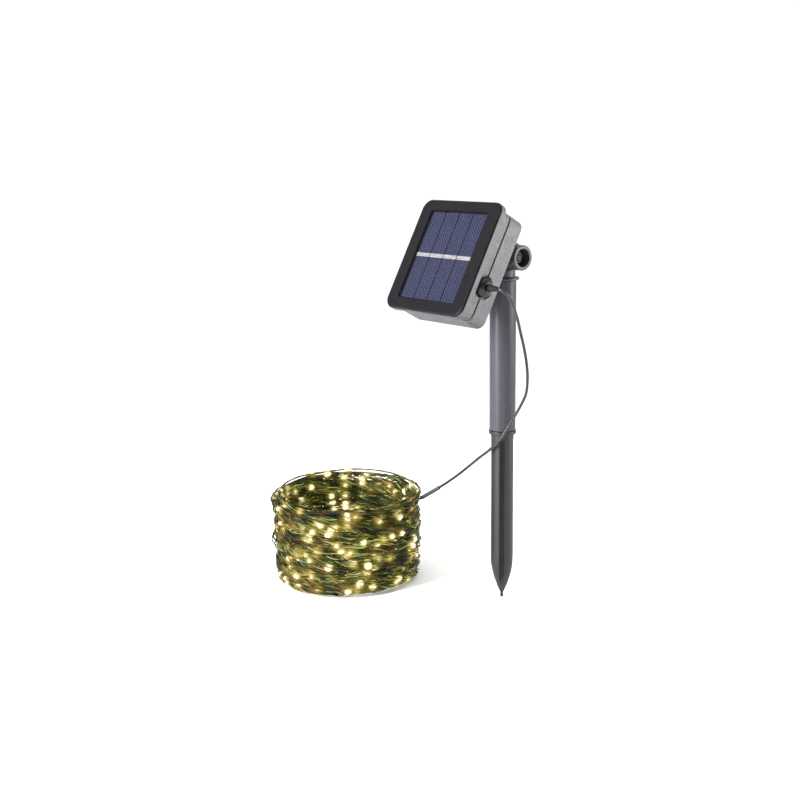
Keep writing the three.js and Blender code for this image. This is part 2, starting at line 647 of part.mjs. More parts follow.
// ---------------------------------------------------------------- lead and light string
// The lead's route from the strain relief, down beside the stake, across its front and out to the coil.
const LEAD_UPPER_ROUTE = [
  [55.8, -59.1, 277.0], [58.2, -58.9, 276.7], [60.9, -57.2, 274.8], [61.6, -53.4, 270.9],
  [60.0, -48.0, 265.5], [57.0, -42.9, 260.2], [51.9, -34.5, 251.1], [46.5, -26.0, 240.0],
  [40.8, -15.6, 223.6], [37.0, -9.2, 210.9], [33.6, -4.6, 198.4], [29.8, -2.4, 184.5],
  [24.1, -3.2, 173.0], [19.2, -5.2, 163.7], [14.0, -8.1, 153.5],
];
const LEAD_LOWER_ROUTE = [
  [13.85, -8.2, 153.2], [7.8, -11.9, 142.0], [-1.2, -14.6, 132.9], [-13.1, -15.3, 123.9], [-24.6, -15.6, 114.8],
  [-35.9, -16.0, 106.0], [-47.8, -16.8, 97.3], [-59.7, -17.9, 89.1],
];
const SPLICE_ROUTE = [[-60.0, -17.95, 88.9], [-70.0, -19.3, 82.2], [-82.0, -21.0, 74.6]];

function lightStringCoil() {
  const edge = 3;
  const [inner, outer, top] = [COIL_INNER_RADIUS, COIL_OUTER_RADIUS, COIL_HEIGHT];
  return turned([
    [inner + edge, 0],
    [outer - edge, 0],
    [outer, edge],
    [outer, top - edge],
    [outer - edge, top],
    [inner + edge, top],
    [inner, top - edge],
    [inner, edge],
    [inner + edge, 0],
  ], 40).translate(COIL_CENTRE[0], COIL_CENTRE[1], 0);
}

function addLeadAndLights() {
  addNode('lead_upper', tubeAlong(LEAD_UPPER_ROUTE, LEAD_RADIUS, 48), materials.lead());
  addNode('lead_lower', tubeAlong(LEAD_LOWER_ROUTE, LEAD_RADIUS, 28), materials.lead());
  addNode('splice_sleeve', tubeAlong(SPLICE_ROUTE, 1.8, 6), materials.rubber());
  addNode('light_string_coil', lightStringCoil(), materials.lights());
}

addSolarLaminate();
addHousing();
addGland();
addBattery();
addCircuitBoard();
addSolarWires();
addButtons();
addBracket();
addStake();
addLeadAndLights();

export default group;
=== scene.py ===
"""Looks of the solar string lights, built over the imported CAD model.

Shapes are drawn in millimetres and made in metres. Panel pieces are drawn in the panel's own frame:
x across it, y up along it and z out of its face, with z zero on the face.
"""

import math

import bmesh
import bpy
import numpy as np
from mathutils import Matrix, Vector, kdtree


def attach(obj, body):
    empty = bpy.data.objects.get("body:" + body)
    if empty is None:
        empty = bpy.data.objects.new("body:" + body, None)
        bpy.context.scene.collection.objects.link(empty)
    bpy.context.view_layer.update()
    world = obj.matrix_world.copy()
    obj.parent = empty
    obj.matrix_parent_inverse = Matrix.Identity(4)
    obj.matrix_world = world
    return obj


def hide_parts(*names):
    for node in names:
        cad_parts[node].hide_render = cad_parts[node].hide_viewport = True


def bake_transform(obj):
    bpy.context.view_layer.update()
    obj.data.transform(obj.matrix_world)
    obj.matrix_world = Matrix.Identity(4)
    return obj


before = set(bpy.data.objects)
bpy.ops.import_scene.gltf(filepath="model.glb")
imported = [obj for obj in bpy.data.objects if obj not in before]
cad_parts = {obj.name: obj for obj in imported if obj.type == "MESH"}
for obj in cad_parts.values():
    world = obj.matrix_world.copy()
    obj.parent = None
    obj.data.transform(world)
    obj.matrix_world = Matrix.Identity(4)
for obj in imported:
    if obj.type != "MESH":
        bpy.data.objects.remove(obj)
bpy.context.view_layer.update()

MM = 0.001
GAP = 0.3  # clearance between neighbouring pieces

# ---------------------------------------------------------------- camera
CAMERA_PLACE = Vector((0.7017, -0.6808, 0.3875))
CAMERA_AIM = Vector((-0.7581, 0.6164, -0.2127))
CAMERA_RIGHT = Vector((0.6332, 0.7738, -0.0144))
CAMERA_LENS = 53.73  # on a sensor 36 mm wide


def add_camera():
    back = -CAMERA_AIM.normalized()
    right = (CAMERA_RIGHT - back * CAMERA_RIGHT.dot(back)).normalized()
    up = back.cross(right)
    camera = bpy.data.objects.new("camera", bpy.data.cameras.new("camera"))
    camera.data.sensor_width = 36
    camera.data.lens = CAMERA_LENS
    turn = Matrix((right, up, back)).transposed().to_4x4()
    camera.matrix_world = Matrix.Translation(CAMERA_PLACE) @ turn
    bpy.context.scene.collection.objects.link(camera)
    bpy.context.scene.camera = camera


# ---------------------------------------------------------------- mesh helpers
WORLD_FRAME = Matrix.Identity(4)
PANEL_TILT = math.radians(29)
PIVOT_HEIGHT = 294
FACE_FROM_PIVOT = 60.5
CENTRE_BELOW_PIVOT = 27.5


def panel_frame():
    up = Vector((0, math.sin(PANEL_TILT), math.cos(PANEL_TILT)))
    out = Vector((0, -math.cos(PANEL_TILT), math.sin(PANEL_TILT)))
    pivot = Vector((0, 0, PIVOT_HEIGHT))
    centre = (pivot - up * CENTRE_BELOW_PIVOT + out * FACE_FROM_PIVOT) * MM
    return Matrix.Translation(centre) @ Matrix((Vector((1, 0, 0)), up, out)).transposed().to_4x4()


PANEL_FRAME = panel_frame()


def filleted(corners, steps=4):
    """Profile through corners, each rounded by its last number, the reach of its fillet.

    Lengths are measured on the first and last coordinates: radius and height of a turned piece,
    or half width and depth of a lofted one.
    """
    points = [np.array(corner[:-1], float) for corner in corners]
    made = []
    for k, corner in enumerate(corners):
        reach, here = corner[-1], points[k]
        if reach == 0 or k in (0, len(corners) - 1):
            made.append(here)
            continue
        ends = []
        for other in (points[k - 1], points[k + 1]):
            step = other - here
            length = math.hypot(step[0], step[-1])
            ends.append(here + step * min(reach / length, 0.49))
        for s in range(steps + 1):
            t = s / steps
            made.append(ends[0] * (1 - t) ** 2 + here * 2 * t * (1 - t) + ends[1] * t * t)
    return made


def rounded_rectangle(half_width, half_height, radius, depth, steps=10):
    points = []
    for sx, sy, start in ((1, 1, 0), (-1, 1, 90), (-1, -1, 180), (1, -1, 270)):
        for i in range(steps + 1):
            angle = math.radians(start + 90 * i / steps)
            x = sx * (half_width - radius) + radius * math.cos(angle)
            y = sy * (half_height - radius) + radius * math.sin(angle)
            points.append((x, y, depth))
    return np.array(points)


def ring_faces(levels, count, closed=False):
    """Quads between rings of count points, one after the other."""
    level = np.arange(levels if closed else levels - 1)[:, None] * count
    above = (level + count) % (levels * count)
    i = np.arange(count)[None, :]
    j = (i + 1) % count
    quads = np.stack([level + i, level + j, above + j, above + i], axis=-1)
    return quads.reshape(-1, 4).tolist()


def capped_faces(levels, count):
    """Faces over rings of count points, with a cap at each end."""
    last = (levels - 1) * count
    return ring_faces(levels, count) + [list(range(count))[::-1], [last + i for i in range(count)]]


def loft(levels, steps=10):
    """Closed skin over levels (half width, half height, corner radius, depth)."""
    rings = [rounded_rectangle(*level, steps=steps) for level in levels]
    return np.concatenate(rings), capped_faces(len(rings), len(rings[0]))


def turned(profile, segments=64, closed=False):
    """Solid of revolution about Z from (radius, height) points; closed joins the last to the first."""
    vertices, faces, starts = [], [], []
    for radius, height in profile:
        starts.append(len(vertices))
        if radius < 1e-6:
            vertices.append((0, 0, height))
            continue
        for i in range(segments):
            angle = 2 * math.pi * i / segments
            vertices.append((radius * math.cos(angle), radius * math.sin(angle), height))
    pairs = list(zip(range(len(profile) - 1), range(1, len(profile))))
    if closed:
        pairs.append((len(profile) - 1, 0))
    for a, b in pairs:
        low, high = starts[a], starts[b]
        low_point, high_point = profile[a][0] < 1e-6, profile[b][0] < 1e-6
        if low_point and high_point:
            continue
        for i in range(segments):
            j = (i + 1) % segments
            if low_point:
                faces.append([low, high + j, high + i])
            elif high_point:
                faces.append([low + i, low + j, high])
            else:
                faces.append([low + i, low + j, high + j, high + i])
    return np.array(vertices, float), faces


def along_x(shape):
    """Turns a shape built along Z so that it lies along X."""
    vertices, faces = shape
    return vertices[:, [2, 0, 1]], faces


def moved(shape, x=0, y=0, z=0):
    vertices, faces = shape
    return vertices + np.array((x, y, z)), faces


def joined(*shapes):
    vertices, faces, start = [], [], 0
    for points, polygons in shapes:
        vertices.append(points)
        faces += [[start + i for i in polygon] for polygon in polygons]
        start += len(points)
    return np.concatenate(vertices), faces


def unit(vectors):
    return vectors / np.linalg.norm(vectors, axis=-1, keepdims=True)


def carried_frames(points):
    """Tangent and two side directions at each point, carried along the line without twist."""
    tangents = unit(np.gradient(points, axis=0))
    side = np.cross(tangents[0], (0.0, 0.0, 1.0))
    if np.linalg.norm(side) < 1e-3:
        side = np.array((1.0, 0.0, 0.0))
    sides = np.zeros_like(points)
    for i, tangent in enumerate(tangents):
        side = side - tangent * side.dot(tangent)
        side = side / math.sqrt(side.dot(side))
        sides[i] = side
    return tangents, sides, np.cross(tangents, sides)


def tube(points, radius, sides=16):
    """Round skin along points, closed at both ends; radius is one number or one for each point."""
    points = np.asarray(points, float)
    radius = np.broadcast_to(np.asarray(radius, float), (len(points),))
    _, across, over = carried_frames(points)
    angle = 2 * math.pi * np.arange(sides) / sides
    around = np.cos(angle)[None, :, None] * across[:, None] + np.sin(angle)[None, :, None] * over[:, None]
    vertices = points[:, None] + radius[:, None, None] * around
    return vertices.reshape(-1, 3), capped_faces(len(points), sides)


def distances_along(points):
    """How far along the line each of its points is."""
    return np.concatenate([[0], np.cumsum(np.linalg.norm(np.diff(points, axis=0), axis=1))])


def places_along(line, along, distances):
    """Points of the line at these values of along."""
    return np.stack([np.interp(distances, along, line[:, axis]) for axis in range(3)], axis=-1)


def curve_point(start, leaving, end, arriving, t):
    """Point at t, from 0 to 1, on the curve from start to end with these velocities at its ends."""
    near, onwards = 2 * t**3 - 3 * t**2 + 1, t**3 - 2 * t**2 + t
    return near * start + onwards * leaving + (1 - near) * end + (t**3 - t**2) * arriving


def smooth_route(points, spacing):
    """Even steps along a smooth curve through the points."""
    points = [np.array(p, float) for p in points]
    ends = [2 * points[0] - points[1]] + points + [2 * points[-1] - points[-2]]
    fine = []
    for a, b, c, d in zip(ends, ends[1:], ends[2:], ends[3:]):
        ab, bc, cd = (math.sqrt(np.linalg.norm(q - p)) for p, q in ((a, b), (b, c), (c, d)))
        start = (c - b) / bc - (c - a) / (ab + bc) + (b - a) / ab
        end = (d - c) / cd - (d - b) / (bc + cd) + (c - b) / bc
        for t in np.linspace(0, 1, 24, endpoint=False):
            fine.append(curve_point(b, bc * start, c, bc * end, t))
    fine = np.array(fine + [points[-1]])
    along = distances_along(fine)
    count = max(2, int(round(along[-1] / spacing)) + 1)
    return places_along(fine, along, np.linspace(0, along[-1], count))


def shade(obj, sharp):
    obj.data.shade_smooth()
    obj.data.set_sharp_from_angle(angle=math.radians(sharp))


def make_object(name, shape, place=WORLD_FRAME):
    vertices, faces = shape
    mesh = bpy.data.meshes.new(name)
    mesh.from_pydata((np.asarray(vertices, float) * MM).tolist(), [], faces)
    mesh.update()
    obj = bpy.data.objects.new(name, mesh)
    bpy.context.scene.collection.objects.link(obj)
    obj.matrix_world = place
    return obj


def outward(obj):
    """Turns a closed mesh's faces so that they look out of it."""
    shape = bmesh.new()
    shape.from_mesh(obj.data)
    bmesh.ops.recalc_face_normals(shape, faces=shape.faces)
    shape.to_mesh(obj.data)
    shape.free()


def combine(obj, shapes, operation, place):
    """Adds the shapes to obj, or cuts them out of it."""
    others = [make_object(f"{obj.name}_{operation}", shape, place) for shape in shapes]
    for other in others:
        outward(other)
        modifier = obj.modifiers.new(operation, "BOOLEAN")
        modifier.operation = operation
        modifier.solver = "EXACT"
        modifier.object = other
    bpy.context.view_layer.update()
    graph = bpy.context.evaluated_depsgraph_get()
    mesh = bpy.data.meshes.new_from_object(obj.evaluated_get(graph))
    obj.modifiers.clear()
    obj.data = mesh
    for other in others:
        bpy.data.objects.remove(other)


def add_piece(
    name, shape, look, body, slot, replaced, place=WORLD_FRAME, add=(), cut=(), sharp=35, bevel=0
):
    """One finished piece, with shapes added and cut, a look, its body and the nodes it stands for."""
    obj = make_object(name, shape, place)
    outward(obj)
    if add:
        combine(obj, add, "UNION", place)
    if cut:
        combine(obj, cut, "DIFFERENCE", place)
    if bevel:
        edge = obj.modifiers.new("edge", "BEVEL")
        edge.width = bevel * MM
        edge.segments = 2
        edge.limit_method = "ANGLE"
        edge.angle_limit = math.radians(40)
    shade(obj, sharp)
    obj.modifiers.new("even_shading", "WEIGHTED_NORMAL").keep_sharp = True
    obj.data.materials.clear()
    obj.data.materials.append(look)
    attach(obj, body)
    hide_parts(*replaced)
    return obj


def add_panel_piece(name, shape, look, slot, replaced, **shaping):
    """A piece that rides on the panel and is drawn in its frame."""
    return add_piece(name, shape, look, "panel", slot, replaced, place=PANEL_FRAME, **shaping)


# ---------------------------------------------------------------- material helpers
class Look:
    """A node material in the making, with its textures placed in the piece's own frame."""

    def __init__(self, name, roughness=0.5, metallic=0.0, gloss=0.5):
        self.material = bpy.data.materials.new(name)
        self.material.use_nodes = True
        self.tree = self.material.node_tree
        self.shader = self.tree.nodes["Principled BSDF"]
        self.shader.inputs["Roughness"].default_value = roughness
        self.shader.inputs["Metallic"].default_value = metallic
        self.shader.inputs["Specular IOR Level"].default_value = gloss
        self.place = self.node("ShaderNodeTexCoord").outputs["Object"]
        self.height = None

    def node(self, kind, **settings):
        node = self.tree.nodes.new(kind)
        for key, value in settings.items():
            setattr(node, key, value)
        return node

    def link(self, output, target):
        self.tree.links.new(output, target)

    def stretched(self, x, y, z):
        """Texture space squeezed by these factors."""
        mapping = self.node("ShaderNodeMapping")
        mapping.inputs["Scale"].default_value = (x, y, z)
        self.link(self.place, mapping.inputs["Vector"])
        return mapping.outputs["Vector"]

    def noise(self, size, detail=3.0, space=None):
        """Noise with features about size millimetres across."""
        node = self.node("ShaderNodeTexNoise")
        node.inputs["Scale"].default_value = 1000 / size
        node.inputs["Detail"].default_value = detail
        self.link(space or self.place, node.inputs["Vector"])
        return node.outputs["Fac"]

    def flakes(self, size, space=None):
        """One random grey for each cell of a broken-up surface."""
        node = self.node("ShaderNodeTexVoronoi")
        node.inputs["Scale"].default_value = 1000 / size
        self.link(space or self.place, node.inputs["Vector"])
        grey = self.node("ShaderNodeRGBToBW")
        self.link(node.outputs["Color"], grey.inputs["Color"])
        return grey.outputs["Val"]

    def lines(self, pitch, direction):
        """Straight bands, one for each pitch in millimetres."""
        node = self.node("ShaderNodeTexWave", bands_direction=direction)
        node.inputs["Scale"].default_value = 1000 * math.pi / pitch / 10
        self.link(self.place, node.inputs["Vector"])
        return node.outputs["Fac"]

    def facing(self, direction):
        """How far the surface faces a direction in the piece's own frame, from -1 to 1."""
        node = self.node("ShaderNodeVectorMath", operation="DOT_PRODUCT")
        self.link(self.node("ShaderNodeTexCoord").outputs["Normal"], node.inputs[0])
        node.inputs[1].default_value = direction
        return node.outputs["Value"]

    def attribute(self, name):
        return self.node("ShaderNodeAttribute", attribute_name=name).outputs["Fac"]

    def math(self, operation, a, b):
        node = self.node("ShaderNodeMath", operation=operation)
        for socket, value in zip(node.inputs, (a, b)):
            if isinstance(value, (int, float)):
                socket.default_value = value
            else:
                self.link(value, socket)
        return node.outputs["Value"]

    def ramp(self, factor, *stops):
        """Colour for a factor: stops are (position, (red, green, blue))."""
        node = self.node("ShaderNodeValToRGB")
        while len(node.color_ramp.elements) < len(stops):
            node.color_ramp.elements.new(0.5)
        for element, (position, colour) in zip(node.color_ramp.elements, stops):
            element.position = position
            element.color = (*colour, 1)
        self.link(factor, node.inputs["Fac"])
        return node.outputs["Color"]

    def mixed(self, factor, a, b, blend_type="MIX"):
        node = self.node("ShaderNodeMix", data_type="RGBA", blend_type=blend_type)
        for socket, value in ((node.inputs[0], factor), (node.inputs[6], a), (node.inputs[7], b)):
            if isinstance(value, tuple):
                socket.default_value = (*value, 1)
            elif isinstance(value, (int, float)):
                socket.default_value = value
            else:
                self.link(value, socket)
        return node.outputs[2]

    def ranged(self, factor, low, high, start=0.3, end=0.7):
        node = self.node("ShaderNodeMapRange")
        for key, value in (("From Min", start), ("From Max", end), ("To Min", low), ("To Max", high)):
            node.inputs[key].default_value = value
        self.link(factor, node.inputs["Value"])
        return node.outputs["Result"]

    def colour(self, output):
        self.link(output, self.shader.inputs["Base Color"])

    def mottle(self, factor, low, high):
        self.colour(self.ramp(factor, (0.3, low), (0.7, high)))

    def glow(self, output):
        self.link(output, self.shader.inputs["Emission Color"])
        self.shader.inputs["Emission Strength"].default_value = 1.0

    def roughness(self, output):
        self.link(output, self.shader.inputs["Roughness"])

    def bump(self, output, distance, strength=1.0):
        """Relief of this height in millimetres, on top of any earlier one."""
        node = self.node("ShaderNodeBump")
        node.inputs["Strength"].default_value = strength
        node.inputs["Distance"].default_value = distance * MM
        self.link(output, node.inputs["Height"])
        if self.height is not None:
            self.link(self.height, node.inputs["Normal"])
        self.height = node.outputs["Normal"]
        self.link(self.height, self.shader.inputs["Normal"])


def scaled(colour, factor):
    return tuple(c * factor for c in colour)


def moulded_plastic(
    name, colour, roughness, grain=0.5, grain_depth=0.03, speckle=0.35, wear=0.25, gloss=0.5,
    painted_shade_side=None,
):
    """Moulded plastic with a fine spark-eroded grain, faint flow clouds and a few rubbed spots.

    Surfaces that face the given shade direction are painted darker: painted shade, not a change in the
    plastic's own colour.
    """
    look = Look(name, gloss=gloss)
    fine = look.noise(grain, 2.0)
    cloud = look.noise(18, 4.0)
    base = look.ramp(fine, (0.3, scaled(colour, 1 - speckle)), (0.7, scaled(colour, 1 + speckle)))
    tone = look.ramp(cloud, (0.3, (0.86, 0.86, 0.87)), (0.7, (1.0, 1.0, 1.0)))
    base = look.mixed(1.0, base, tone, "MULTIPLY")
    # painted shade: the colour darkens where the surface faces the shade direction
    if painted_shade_side:
        painted_shade = look.ramp(look.facing(painted_shade_side), (0.45, (1, 1, 1)), (0.9, (0.4, 0.4, 0.41)))
        base = look.mixed(1.0, base, painted_shade, "MULTIPLY")
    rubbed = look.ramp(look.noise(5, 6.0), (0.62, (0, 0, 0)), (0.74, (1, 1, 1)))
    look.colour(look.mixed(look.math("MULTIPLY", rubbed, wear), base, scaled(colour, 1.9)))
    look.roughness(look.ranged(look.noise(6, 4.0), roughness - 0.07, roughness + 0.08))
    look.bump(fine, grain_depth)
    look.bump(look.noise(14, 2.0), 0.05, 0.4)
    return look.material


# ---------------------------------------------------------------- materials
def tube_plastic():
    """Extruded tube: satin, with faint lengthwise draw lines."""
    look = Look("tube_plastic", gloss=0.2)
    drawn = look.noise(0.9, 3.0, look.stretched(1, 1, 0.02))
    colour = (0.040, 0.037, 0.046)
    base = look.ramp(drawn, (0.3, scaled(colour, 0.82)), (0.7, scaled(colour, 1.16)))
    cloud = look.ramp(look.noise(30, 4.0), (0.3, (0.88, 0.88, 0.9)), (0.7, (1, 1, 1)))
    base = look.mixed(1.0, base, cloud, "MULTIPLY")
    scuff = look.ramp(look.noise(3.5, 8.0), (0.66, (0, 0, 0)), (0.74, (1, 1, 1)))
    look.colour(look.mixed(look.math("MULTIPLY", scuff, 0.2), base, (0.13, 0.13, 0.135)))
    look.roughness(look.ranged(look.noise(9, 4.0), 0.3, 0.42))
    look.bump(drawn, 0.02)
    look.bump(look.noise(0.35, 2.0), 0.006)
    return look.material


def rubber(name, colour, roughness=0.72):
    look = Look(name, gloss=0.3)
    look.mottle(look.noise(4, 5.0), scaled(colour, 0.8), scaled(colour, 1.3))
    look.roughness(look.ranged(look.noise(3, 3.0), roughness - 0.08, roughness + 0.1))
    look.bump(look.noise(0.4, 3.0), 0.02)
    return look.material


def cell_silicon():
    """Blue solar silicon: faint crystal flakes under pale slanting lines and fine silver fingers."""
    look = Look("cell_silicon", gloss=0.2)
    flakes = look.flakes(1.6, look.stretched(1, 0.6, 1))
    base = look.ramp(flakes, (0.2, (0.0045, 0.0052, 0.020)), (0.8, (0.007, 0.008, 0.026)))
    cloud = look.ramp(look.noise(22, 3.0), (0.3, (0.9, 0.92, 0.95)), (0.7, (1.05, 1.03, 1.0)))
    base = look.mixed(1.0, base, cloud, "MULTIPLY")
    etched = look.ramp(look.lines(1.5, "DIAGONAL"), (0.5, (0, 0, 0)), (0.95, (1, 1, 1)))
    base = look.mixed(look.math("MULTIPLY", etched, 0.7), base, (0.036, 0.041, 0.076))
    fingers = look.ramp(look.lines(1.15, "Y"), (0.74, (0, 0, 0)), (0.92, (1, 1, 1)))
    look.colour(look.mixed(look.math("MULTIPLY", fingers, 0.12), base, (0.045, 0.048, 0.085)))
    look.roughness(look.ranged(flakes, 0.3, 0.38))
    look.bump(fingers, 0.003)
    return look.material


def tinned_ribbon():
    look = Look("tinned_ribbon", metallic=0.75)
    streak = look.noise(0.5, 3.0, look.stretched(0.12, 1, 1))
    look.mottle(streak, (0.26, 0.255, 0.245), (0.46, 0.45, 0.435))
    look.roughness(look.ranged(streak, 0.32, 0.5))
    look.bump(streak, 0.03)
    return look.material


def cell_board():
    look = Look("cell_board", roughness=0.42, gloss=0.15)
    look.mottle(look.noise(2, 4.0), (0.0025, 0.0025, 0.004), (0.004, 0.004, 0.007))
    look.bump(look.noise(0.6), 0.01)
    return look.material


def clear_resin():
    """Thin cast resin, clear, with a soft uneven gloss."""
    look = Look("clear_resin")
    look.shader.inputs["Base Color"].default_value = (0.03, 0.03, 0.04, 1)
    look.shader.inputs["Alpha"].default_value = 0.05
    look.roughness(look.ranged(look.noise(20, 3.0), 0.1, 0.2))
    look.bump(look.noise(26, 2.0), 0.02, 0.5)
    return look.material


def steel(name, metallic, grain, low, high, roughness):
    look = Look(name, metallic=metallic)
    look.mottle(look.noise(grain, 5.0), low, high)
    look.roughness(look.ranged(look.noise(0.8, 4.0), *roughness))
    look.bump(look.noise(0.5), 0.01)
    return look.material


def lead_jacket():
    """Grey-green cable jacket with a slight sheen and a fine uneven skin."""
    look = Look("lead_jacket", gloss=0.3)
    look.mottle(look.noise(6, 4.0), (0.010, 0.013, 0.012), (0.020, 0.025, 0.023))
    look.roughness(look.ranged(look.noise(2.5, 3.0), 0.22, 0.34))
    look.bump(look.noise(0.5, 2.0), 0.02)
    return look.material


def light_wire():
    """Thin green insulated wire with painted lamp light: a painted yellow and amber glow and painted
    reflections near the lamps beside it.
    """
    look = Look("light_wire", roughness=0.38, gloss=0.1)
    glow = look.attribute("glow")
    painted_lamp_halo = look.attribute("painted_lamp_halo")
    green = look.ramp(
        look.attribute("tone"), (0.3, (0.0008, 0.0015, 0.0006)), (0.53, (0.0050, 0.0082, 0.0028)),
        (0.7, (0.032, 0.044, 0.015)), (0.85, (0.12, 0.145, 0.075)),
    )
    painted_reflection_patches = look.ramp(look.noise(15, 2.0), (0.46, (0, 0, 0)), (0.56, (1, 1, 1)))
    near = look.math("MULTIPLY", painted_lamp_halo, painted_reflection_patches)
    # painted reflection: amber patches and a yellow tint in the base colour near the lamps
    base = look.mixed(look.math("MULTIPLY", near, 0.9), green, (0.045, 0.014, 0.003))
    look.colour(look.mixed(look.math("MULTIPLY", glow, 0.6), base, (0.22, 0.18, 0.04)))
    # painted glow: the wire emits yellow light near the lamps and green light around them, though it is no
    # lamp
    painted_lamp_glow = look.ramp(glow, (0.1, (0, 0, 0)), (0.45, (0.060, 0.046, 0.008)), (1.0, (0.62, 0.48, 0.14)))
    painted_green_spill = look.mixed(1.0, green, look.ramp(painted_lamp_halo, (0.1, (0, 0, 0)), (0.9, (3.0, 2.5, 0.9))), "MULTIPLY")
    look.glow(look.mixed(1.0, painted_lamp_glow, painted_green_spill, "ADD"))
    look.bump(look.noise(0.6, 2.0), 0.02)
    return look.material


def glue_drop():
    """Clear glue drop over a lit warm white chip: bright over the chip, gold towards its ends."""
    look = Look("glue_drop", roughness=0.15)
    core = look.attribute("core")
    uneven = look.math("MULTIPLY", look.ranged(look.noise(1.9, 3.0), 0.5, 1.2), core)
    look.shader.inputs["Base Color"].default_value = (0.10, 0.08, 0.04, 1)
    look.glow(look.ramp(
        uneven, (0.0, (0.34, 0.18, 0.03)), (0.22, (0.74, 0.54, 0.17)), (0.42, (0.94, 0.83, 0.46)),
        (0.7, (1.0, 0.96, 0.78)),
    ))
    look.bump(look.noise(1.2), 0.1)
    return look.material


def circuit_laminate():
    look = Look("circuit_laminate", roughness=0.4)
    look.mottle(look.flakes(1.8), (0.01, 0.07, 0.03), (0.02, 0.12, 0.05))
    look.bump(look.lines(1.3, "X"), 0.02)
    return look.material


def glossy_skin(name, colour):
    """Smooth coloured insulation or shrink wrap."""
    look = Look(name, roughness=0.3)
    look.mottle(look.noise(3, 4.0), scaled(colour, 0.75), scaled(colour, 1.25))
    look.bump(look.noise(2.0), 0.03)
    return look.material


# The housing plastic has painted shade on the panel's underside.
SHELL = moulded_plastic(
    "shell_plastic", (0.122, 0.118, 0.125), 0.5, grain=0.8, grain_depth=0.06, speckle=0.38, gloss=0.4,
    painted_shade_side=(0, -1, 0),
)
FACE = moulded_plastic(
    "face_plastic", (0.0040, 0.0040, 0.0052), 0.45, grain=0.4, grain_depth=0.012, speckle=0.2, wear=0.1,
    gloss=0.12,
)
BRACKET_LOOK = moulded_plastic(
    "bracket_plastic", (0.038, 0.037, 0.042), 0.40, grain=0.45, grain_depth=0.02, gloss=0.35
)
SPIKE_LOOK = moulded_plastic(
    "spike_plastic", (0.014, 0.0135, 0.0155), 0.42, grain=0.6, grain_depth=0.02, wear=0.3, gloss=0.3
)
GLAND_LOOK = moulded_plastic(
    "gland_plastic", (0.007, 0.007, 0.008), 0.34, grain=0.45, grain_depth=0.01, gloss=0.4
)
TUBE_LOOK = tube_plastic()
RUBBER = rubber("seal_rubber", (0.006, 0.006, 0.0065))
SLEEVE_LOOK = rubber("shrink_sleeve", (0.035, 0.040, 0.040), 0.45)
CELL_LOOK = cell_silicon()
RIBBON_LOOK = tinned_ribbon()
BOARD_LOOK = cell_board()
RESIN = clear_resin()
STEEL = steel("plated_steel", 1.0, 1.5, (0.42, 0.42, 0.43), (0.66, 0.65, 0.64), (0.24, 0.42))
# painted shade: steel for the hinge bolt, nut and washers, darkened to the shade of the deep hinge recess
SHADE_DARKENED_STEEL = steel("shade_darkened_steel", 0.8, 1.2, (0.006, 0.006, 0.0065), (0.018, 0.0175, 0.017), (0.3, 0.5))
LEAD_LOOK = lead_jacket()
WIRE_LOOK = light_wire()
DROP_LOOK = glue_drop()
HOLDER_LOOK = moulded_plastic("holder_plastic", (0.03, 0.03, 0.032), 0.45)
LAMINATE_LOOK = circuit_laminate()
BATTERY_LOOK = glossy_skin("battery_wrap", (0.03, 0.13, 0.07))
RED_LOOK = glossy_skin("wire_red", (0.35, 0.02, 0.015))
BLACK_LOOK = glossy_skin("wire_black", (0.015, 0.015, 0.016))

# ---------------------------------------------------------------- lead from the panel to the lights
LEAD_RADIUS = 1.2
# The lead's route in millimetres: out of the strain relief, down beside the stake and across to the coil.
LEAD_UPPER_ROUTE = [
    (55.8, -59.1, 277.0), (58.2, -58.9, 276.7), (60.9, -57.2, 274.8), (61.6, -53.4, 270.9),
    (60.0, -48.0, 265.5), (57.0, -42.9, 260.2), (51.9, -34.5, 251.1), (46.5, -26.0, 240.0),
    (40.8, -15.6, 223.6), (37.0, -9.2, 210.9), (33.6, -4.6, 198.4), (29.8, -2.4, 184.5),
    (24.1, -3.2, 173.0), (19.2, -5.2, 163.7), (14.0, -8.1, 153.5),
]
LEAD_LOWER_ROUTE = [
    (7.8, -11.9, 142.0), (-1.2, -14.6, 132.9), (-13.1, -15.3, 123.9), (-24.6, -15.6, 114.8),
    (-35.9, -16.0, 106.0), (-47.8, -16.8, 97.3), (-59.7, -17.9, 89.1),
]
SPLICE_ROUTE = [(-60.0, -17.95, 88.9), (-70.0, -19.3, 82.2), (-82.0, -21.0, 74.6)]
SPLICE_RADIUS = 1.8
RELIEF_INSIDE = (50.5, -59.1, 277.0)  # where the lead's visible run starts, inside the strain relief


def lead_runs():
    """The whole lead as one even route, cut where the upper run meets the lower one."""
    route = smooth_route([RELIEF_INSIDE] + LEAD_UPPER_ROUTE + LEAD_LOWER_ROUTE + [SPLICE_ROUTE[1]], 1.0)
    meeting = np.array(LEAD_UPPER_ROUTE[-1])
    cut = int(np.argmin(np.linalg.norm(route - meeting, axis=1)))
    return route[: cut + 1], route[cut:]


def add_lead_run(name, route):
    """One run of the lead: a round tube along its route, in place of the CAD node of that name."""
    obj = make_object(f"{name}_run", tube(route, LEAD_RADIUS))
    outward(obj)
    shade(obj, 60)
    obj.data.materials.append(LEAD_LOOK)
    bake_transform(obj)
    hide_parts(name)


def add_lead(upper, lower, relief, splice):
    add_lead_run("lead_upper", upper)
    add_lead_run("lead_lower", lower)


